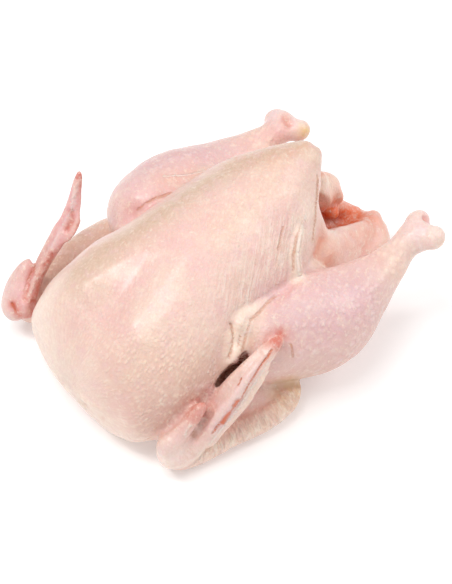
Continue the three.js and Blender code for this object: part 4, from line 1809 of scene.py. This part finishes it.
class Value:
    """A socket that adds Math nodes when it is used in arithmetic."""

    def __init__(self, net: Net, socket: bpy.types.NodeSocket | None) -> None:
        """Keep the tree and the socket, which a node without outputs lacks."""
        self.net = net
        self.socket = socket

    def _math(self, operation: str, first: "Value | float", second: "Value | float") -> "Value":
        """One Math node over two values, of which either may be a plain number."""
        return self.net.node("ShaderNodeMath", {"operation": operation}, {0: first, 1: second})

    def __add__(self, other: "Value | float") -> "Value":
        """Sum."""
        return self._math("ADD", self, other)

    __radd__ = __add__

    def __mul__(self, other: "Value | float") -> "Value":
        """Product."""
        return self._math("MULTIPLY", self, other)

    __rmul__ = __mul__

    def __sub__(self, other: "Value | float") -> "Value":
        """Difference."""
        return self._math("SUBTRACT", self, other)

    def __rsub__(self, other: float) -> "Value":
        """Difference from a plain number."""
        return self._math("SUBTRACT", other, self)

    def smooth(self, low: float, high: float) -> "Value":
        """Smooth rise from 0 at low to 1 at high, or a fall where low is the larger.

        Args:
            low: value where the result is 0.
            high: value where the result is 1.

        Returns:
            The smooth step, kept from 0 to 1.
        """
        rising = low < high
        inputs = {
            "Value": self,
            "From Min": min(low, high),
            "From Max": max(low, high),
            "To Min": 0.0 if rising else 1.0,
            "To Max": 1.0 if rising else 0.0,
        }
        return self.net.node("ShaderNodeMapRange", {"interpolation_type": "SMOOTHSTEP"}, inputs)

    def scaled(self, factors: Point) -> "Value":
        """A vector with each part multiplied."""
        return self.net.node("ShaderNodeVectorMath", {"operation": "MULTIPLY"}, {0: self, 1: factors})

    def turned(self, degrees: float) -> "Value":
        """A vector turned about its third axis."""
        inputs = {"Vector": self, "Rotation": (0, 0, math.radians(degrees))}
        return self.net.node("ShaderNodeMapping", None, inputs)


@dataclass(frozen=True)
class Noise:
    """Fractal noise: the size of its features, its detail and its roughness."""

    size: float
    detail: float
    roughness: float

    def over(self, place: Value) -> Value:
        """The noise over a place, in the place's own units."""
        inputs = {"Vector": place, "Scale": 1 / self.size, "Detail": self.detail, "Roughness": self.roughness}
        return place.net.node("ShaderNodeTexNoise", None, inputs, "Fac")


@dataclass(frozen=True)
class Veil:
    """A thin layer of colour that sets in where its pattern passes from low to high."""

    low: float
    high: float
    strength: float
    colour: Colour

    def over(self, colour: Value | Colour, pattern: Value, mask: Value | None = None) -> Value:
        """Lay this layer over a colour.

        Args:
            colour: what lies beneath.
            pattern: the layer's pattern, from 0 to 1.
            mask: how far the layer shows in each place; everywhere alike without one.

        Returns:
            The mixed colour.
        """
        share = pattern.smooth(self.low, self.high)
        if mask is not None:
            share = share * mask
        return pattern.net.mix(share * self.strength, colour, self.colour)


@dataclass
class SkinPatterns:
    """The skin's patterns and masks as wired values, which its colour and its relief share."""

    fine: Value
    small: Value
    grain: Value
    fibres: Value
    streaks: Value
    folds: Value
    follicles: Value
    leg: Value
    charted: Value
    goose: Value
    stretch: Value
    wrinkle: Value
    crease: Value
    thread: Value
    tear: Value


# Brown of the dark specks and fibres, and of the painted shade between follicles.
SPECK_AND_SHADE_BROWN: Colour = (0.72, 0.42, 0.33)
STREAK: Colour = (0.72, 0.42, 0.32)
PALE_CREAM: Colour = (0.97, 0.82, 0.70)


@dataclass(frozen=True)
class SkinFinish:
    """Moist plucked skin: cream over pink, tinted by place, with rows of raised follicles and fine wrinkles.

    Colours are linear. Sizes and heights are millimetres, and turns are degrees.
    """

    cream: Colour = (0.90, 0.675, 0.575)
    pink_areas: Veil = Veil(0.4, 0.64, 1.0, (0.90, 0.60, 0.55))
    flush: Veil = Veil(0.48, 0.72, 0.4, (0.90, 0.62, 0.60))
    tints: tuple[tuple[Tint, Colour, float], ...] = (
        # Beige-brown: partly the skin's own, partly painted shade.
        (Tint.KHAKI_AND_SHADE, (0.66, 0.46, 0.32), 0.9),
        (Tint.LILAC, (0.70, 0.42, 0.46), 0.85),
        (Tint.ROSE, (0.80, 0.44, 0.41), 0.6),
        (Tint.FAT, (0.97, 0.75, 0.59), 0.75),
        (Tint.RAW, (0.80, 0.34, 0.36), 0.9),
        (Tint.PEARL, (0.93, 0.73, 0.72), 0.85),
        # Brown painted shade, and the left forearm's darker skin.
        (Tint.BROWN_AND_SHADE, (0.60, 0.33, 0.25), 0.7),
        (Tint.FLESH, (0.86, 0.53, 0.43), 0.75),
        (Tint.YELLOW, (0.84, 0.58, 0.22), 0.9),
        (Tint.BLOOD, (0.66, 0.13, 0.08), 0.9),
        # Pale cream, partly painted light in shaded places.
        (Tint.MILK_AND_PAINTED_LIGHT, (1.0, 0.84, 0.71), 0.85),
        (Tint.HOLLOW, (0.84, 0.15, 0.03), 1.0),
        (Tint.SHADE, (0.16, 0.02, 0.0), 0.99),
    )
    tint_mottle: float = 0.7
    tint_base: float = 0.65
    bloom: Veil = Veil(0.5, 0.7, 0.4, (0.86, 0.58, 0.58))
    pale_blotches: Veil = Veil(0.48, 0.3, 0.3, PALE_CREAM)
    dark_specks: Veil = Veil(0.35, 0.65, 0.24, SPECK_AND_SHADE_BROWN)
    pale_specks: Veil = Veil(0.55, 0.75, 0.5, PALE_CREAM)
    pale_fibres: Veil = Veil(0.5, 0.72, 0.25, PALE_CREAM)
    dark_fibres: Veil = Veil(0.46, 0.28, 0.12, SPECK_AND_SHADE_BROWN)
    dark_streaks: Veil = Veil(0.56, 0.36, 0.3, STREAK)
    pale_streaks: Veil = Veil(0.5, 0.64, 0.6, PALE_CREAM)
    dark_folds: Veil = Veil(0.52, 0.38, 0.4, STREAK)
    pale_folds: Veil = Veil(0.5, 0.66, 0.55, PALE_CREAM)

    broad_noise: Noise = Noise(26, 3.0, 0.55)
    flush_noise: Noise = Noise(11, 2.0, 0.5)
    blotch_noise: Noise = Noise(6.5, 3.0, 0.6)
    fine_noise: Noise = Noise(5, 3.0, 0.6)
    small_noise: Noise = Noise(2.4, 2.0, 0.6)
    grain_noise: Noise = Noise(1.1, 2.0, 0.6)
    fibre_noise: Noise = Noise(1.0, 3.0, 0.65)
    streak_noise: Noise = Noise(1.0, 3.0, 0.6)
    fold_noise: Noise = Noise(1.0, 2.0, 0.6)
    gloss_noise: Noise = Noise(14, 2.0, 0.5)

    follicle_pitch: Point = (1 / 2.2, 1 / 2.9, 0.3)
    follicle_size: float = 0.7
    follicle_top: float = 0.06
    follicle_unevenness: float = 0.75
    leg_follicle_floor: float = 0.25
    follicle_strength: float = 0.36
    follicle_cream: Colour = (0.98, 0.74, 0.57)
    # The leg follicles' pale tops: their own pale colour with a painted highlight.
    follicle_white: Colour = (0.96, 0.76, 0.72)
    # Painted shade in the hollows between follicles, less of it on the legs.
    shade_between_follicles: float = 0.28
    between_less_on_leg: float = 0.24
    leg_lilac: Span = (0.15, 0.5)
    row_turn: float = -58.0
    streak_turn: float = -43.0
    fibre_pitch: Point = (1 / 1.3, 1 / 4.2, 0.1)
    streak_pitch: Point = (1 / 1.5, 1 / 13, 0.1)
    fold_pitch: Point = (1 / 2.4, 1 / 9, 0.1)

    line_edge: Span = (0.5, 0.9)
    line_unevenness: float = 0.3
    # Orange-brown along creases and grooves: painted shade in them, and the brown of thin stretch lines.
    crease_colour: Colour = (0.62, 0.27, 0.15)
    crease_strength: float = 0.65
    thread_colour: Colour = (0.97, 0.83, 0.74)
    thread_strength: float = 0.6
    tear_colour: Colour = (0.72, 0.15, 0.05)
    tear_strength: float = 0.9

    follicle_height: float = 0.3
    streak_height: float = 0.9
    fold_height: float = 2.6
    grain_height: float = 0.24
    fine_height: float = 0.5
    small_height: float = 0.4
    fibre_height: float = 0.3
    thread_height: float = 0.5
    crease_depth: float = 0.4
    tear_depth: float = 0.7

    roughness: float = 0.5
    glossier: float = 0.14
    rougher_follicles: float = 0.08
    rougher_shade: float = 0.45
    subsurface: float = 0.18
    subsurface_radius: Point = (1.0, 0.45, 0.3)
    subsurface_scale: float = 0.002
    coat: float = 0.4
    coat_roughness: float = 0.2
    refraction: float = 1.42

    def material(self) -> bpy.types.Material:
        """Build the skin's nodes.

        Returns:
            The material.
        """
        made = bpy.data.materials.new("plucked_skin")
        net = Net(made)
        place = net.node("ShaderNodeTexCoord", output="Object").scaled((1 / MM,) * 3)
        wired = self._patterns(net, place)
        height = {"Strength": 1.0, "Distance": 1.0, "Height": self._height(wired)}
        shade = net.mask(Tint.SHADE)
        roughness = self.roughness - self.glossier * self.gloss_noise.over(place)
        roughness = roughness + self.rougher_follicles * wired.goose + self.rougher_shade * shade
        shader = net.node(
            "ShaderNodeBsdfPrincipled",
            {"subsurface_method": "RANDOM_WALK"},
            {
                "Base Color": self._patterned(net, wired, self._tinted(net, place, wired)),
                "Roughness": roughness,
                "Normal": net.node("ShaderNodeBump", None, height, "Normal"),
                "Subsurface Weight": self.subsurface,
                "Subsurface Radius": self.subsurface_radius,
                "Subsurface Scale": self.subsurface_scale,
                "Coat Weight": self.coat * (1 - shade),
                "Coat Roughness": self.coat_roughness,
                "IOR": self.refraction,
            },
        )
        net.node("ShaderNodeOutputMaterial", None, {"Surface": shader})
        return made

    def _patterns(self, net: Net, place: Value) -> SkinPatterns:
        """Wire the patterns over place and chart, and the masks that the mesh carries.

        Args:
            net: the material's tree.
            place: object coordinates in millimetres.

        Returns:
            The patterns and masks.
        """
        chart = net.attribute(CHART, "Vector")
        rows = chart.turned(self.row_turn)
        fine = self.fine_noise.over(place)
        small = self.small_noise.over(place)
        leg = net.mask(Tint.LILAC).smooth(*self.leg_lilac)
        return SkinPatterns(
            fine=fine,
            small=small,
            grain=self.grain_noise.over(place),
            fibres=self.fibre_noise.over(rows.scaled(self.fibre_pitch)),
            streaks=self.streak_noise.over(chart.turned(self.streak_turn).scaled(self.streak_pitch)),
            folds=self.fold_noise.over(chart.scaled(self.fold_pitch)),
            follicles=self._follicles(net, rows, leg),
            leg=leg,
            charted=net.attribute(CHARTED),
            goose=net.mask(Tint.GOOSE),
            stretch=net.mask(Tint.STRETCH),
            wrinkle=net.mask(Tint.WRINKLE),
            crease=self._line(net, Tint.CREASE, fine),
            thread=self._line(net, Tint.THREAD, small),
            tear=self._line(net, Tint.TEAR, small),
        )

    def _follicles(self, net: Net, rows: Value, leg: Value) -> Value:
        """Raised follicles in slanting rows, joined into low ridges along the rows but apart on the legs.

        Args:
            net: the material's tree.
            rows: the chart turned along the rows.
            leg: 1 on the legs, 0 elsewhere.

        Returns:
            1 on a follicle, 0 between.
        """
        inputs = {
            "Vector": rows.scaled(self.follicle_pitch),
            "Scale": 1.0,
            "Randomness": self.follicle_unevenness,
        }
        cells = net.node("ShaderNodeTexVoronoi", {"feature": "F1"}, inputs, "Distance")
        dots = cells.smooth(self.follicle_size, self.follicle_top)
        return dots.smooth(0.0, 1.0) * (1 - leg) + dots.smooth(self.leg_follicle_floor, 1.0) * leg

    def _line(self, net: Net, tint: Tint, uneven: Value) -> Value:
        """A crisp line with an uneven edge, from the ramp stored on the mesh."""
        ramp = net.mask(tint) + uneven * self.line_unevenness - self.line_unevenness / 2
        return ramp.smooth(*self.line_edge)

    def _tinted(self, net: Net, place: Value, wired: SkinPatterns) -> Value:
        """Cream with pink areas, then the tints of each place in order, mottled by fine noise.

        Args:
            net: the material's tree.
            place: object coordinates in millimetres.
            wired: the patterns and masks.

        Returns:
            The colour without follicles, streaks and specks.
        """
        colour = self.pink_areas.over(self.cream, self.broad_noise.over(place))
        colour = self.flush.over(colour, self.flush_noise.over(place))
        mottle = wired.fine * self.tint_mottle + self.tint_base
        for tint, shade, strength in self.tints:
            colour = net.mix(net.mask(tint) * mottle * strength, colour, shade)
        blotches = self.blotch_noise.over(place)
        return self.pale_blotches.over(self.bloom.over(colour, blotches), blotches)

    def _patterned(self, net: Net, wired: SkinPatterns, colour: Value) -> Value:
        """Specks, fibres, streaks, follicles, folds and lines over the tinted colour.

        Args:
            net: the material's tree.
            wired: the patterns and masks.
            colour: the tinted colour.

        Returns:
            The skin's colour.
        """
        colour = self.dark_specks.over(colour, wired.small)
        colour = self.pale_specks.over(colour, wired.small)
        colour = self.pale_fibres.over(colour, wired.fibres, wired.charted)
        colour = self.dark_fibres.over(colour, wired.fibres, wired.charted)
        colour = self.dark_streaks.over(colour, wired.streaks, wired.stretch)
        colour = self.pale_streaks.over(colour, wired.streaks, wired.stretch)
        follicle = net.mix(wired.leg, self.follicle_cream, self.follicle_white)
        # The hollows between follicles get painted shade, the follicles paler tops.
        between = self.shade_between_follicles - self.between_less_on_leg * wired.leg
        colour = net.mix((1 - wired.follicles) * wired.goose * between, colour, SPECK_AND_SHADE_BROWN)
        colour = net.mix(wired.follicles * wired.goose * self.follicle_strength, colour, follicle)
        colour = self.dark_folds.over(colour, wired.folds, wired.wrinkle)
        colour = self.pale_folds.over(colour, wired.folds, wired.wrinkle)
        colour = net.mix(wired.crease * self.crease_strength, colour, self.crease_colour)
        colour = net.mix(wired.thread * self.thread_strength, colour, self.thread_colour)
        return net.mix(wired.tear * self.tear_strength, colour, self.tear_colour)

    def _height(self, wired: SkinPatterns) -> Value:
        """Fine relief in metres: the sum of each pattern, in its own place, times its height or depth.

        Args:
            wired: the patterns and masks.

        Returns:
            The height for the bump.
        """
        height = wired.follicles * wired.goose * (self.follicle_height * MM)
        height = height + wired.streaks * wired.stretch * (self.streak_height * MM)
        height = height + wired.folds * wired.wrinkle * (self.fold_height * MM)
        height = height + wired.grain * (self.grain_height * MM)
        height = height + wired.fine * (self.fine_height * MM)
        height = height + wired.small * (self.small_height * MM)
        height = height + wired.fibres * wired.charted * (self.fibre_height * MM)
        height = height + wired.thread * (self.thread_height * MM)
        height = height - wired.crease * (self.crease_depth * MM)
        return height - wired.tear * (self.tear_depth * MM)


@dataclass(frozen=True)
class SoftLight:
    """A square area light turned towards the bird, with its place and side in millimetres."""

    name: str
    place: Point
    side: float
    watts: float

    def shine(self) -> None:
        """Add the light to the scene."""
        data = bpy.data.lights.new(self.name, "AREA")
        data.size = self.side * MM
        data.energy = self.watts
        made = bpy.data.objects.new(self.name, data)
        bpy.context.scene.collection.objects.link(made)
        made.location = np.array(self.place) * MM
        made.rotation_mode = "QUATERNION"
        made.rotation_quaternion = Vector([-part for part in self.place]).to_track_quat("-Z", "Y")


@dataclass(frozen=True)
class Studio:
    """Pale floor, soft lights, a white world, and the camera above the bird's right side."""

    azimuth: float = 51.3
    elevation: float = 50.3
    distance: float = 1000.0
    aim: Point = (-4.653, 17.694, 12.201)
    lens: float = 110.7
    sensor: float = 36.0
    clip_start: float = 0.05
    clip_end: float = 20.0
    soft_lights: tuple[SoftLight, ...] = (
        SoftLight("key", (-50, -450, 1500), 800, 10.0),
        SoftLight("sheen", (-450, -650, 1270), 260, 3.5),
        SoftLight("rear", (500, 1200, 1000), 900, 7.5),
    )
    floor_size: float = 6000.0
    floor_colour: Colour = (0.9, 0.9, 0.9)
    floor_roughness: float = 0.9
    floor_glow: float = 0.2
    world_strength: float = 0.5

    def camera(self) -> bpy.types.Object:
        """Place the camera: back along its line of sight from the aim point, with its sensor level.

        Returns:
            The camera object, set as the scene's camera.
        """
        azimuth = math.radians(self.azimuth)
        elevation = math.radians(self.elevation)
        level = math.cos(elevation)
        back = np.array((math.sin(azimuth) * level, -math.cos(azimuth) * level, math.sin(elevation)))
        data = bpy.data.cameras.new("camera")
        data.lens = self.lens
        data.sensor_width = self.sensor
        data.clip_start = self.clip_start
        data.clip_end = self.clip_end
        made = bpy.data.objects.new("camera", data)
        bpy.context.scene.collection.objects.link(made)
        made.rotation_mode = "QUATERNION"
        made.location = (np.array(self.aim) - FOOTPRINT_MIDDLE + back * self.distance) * MM
        made.rotation_quaternion = Vector(-back).to_track_quat("-Z", "Y")
        bpy.context.scene.camera = made
        return made

    def lights(self) -> None:
        """Add the key above the neck end, the sheen light, the rear light and the white world."""
        for light in self.soft_lights:
            light.shine()
        world = bpy.data.worlds.new("studio")
        bpy.context.scene.world = world
        world.use_nodes = True
        background = world.node_tree.nodes["Background"]
        background.inputs["Color"].default_value = (1, 1, 1, 1)
        background.inputs["Strength"].default_value = self.world_strength
        bpy.context.scene.view_settings.view_transform = "Standard"

    def floor(self) -> bpy.types.Object:
        """A large pale floor under the bird, lifted a little by its own glow.

        Returns:
            The floor object.
        """
        half = self.floor_size / 2
        corners = np.array(((-half, -half, 0), (half, -half, 0), (half, half, 0), (-half, half, 0)), float)
        floor = MeshTools.put("floor", Shell(corners, np.array(((0, 1, 2, 3),)), np.empty((0, 3), int)))
        material = bpy.data.materials.new("pale_floor")
        net = Net(material)
        inputs = {
            "Base Color": (*self.floor_colour, 1),
            "Roughness": self.floor_roughness,
            "Emission Color": (1, 1, 1, 1),
            "Emission Strength": self.floor_glow,
        }
        shader = net.node("ShaderNodeBsdfPrincipled", None, inputs)
        net.node("ShaderNodeOutputMaterial", None, {"Surface": shader})
        floor.data.materials.append(material)
        return floor


def main() -> None:
    """Load the frame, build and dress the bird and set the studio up."""
    logging.basicConfig(level=logging.INFO, format="%(name)s: %(message)s")
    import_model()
    bird = Chicken().build()
    bird.data.materials.append(SkinFinish().material())
    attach(bird, "root")
    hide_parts("chicken")
    LOG.info("dressed %s", bird.name)
    studio = Studio()
    studio.floor()
    studio.lights()
    studio.camera()
    LOG.info("studio is set")


if __name__ == "__main__":
    main()
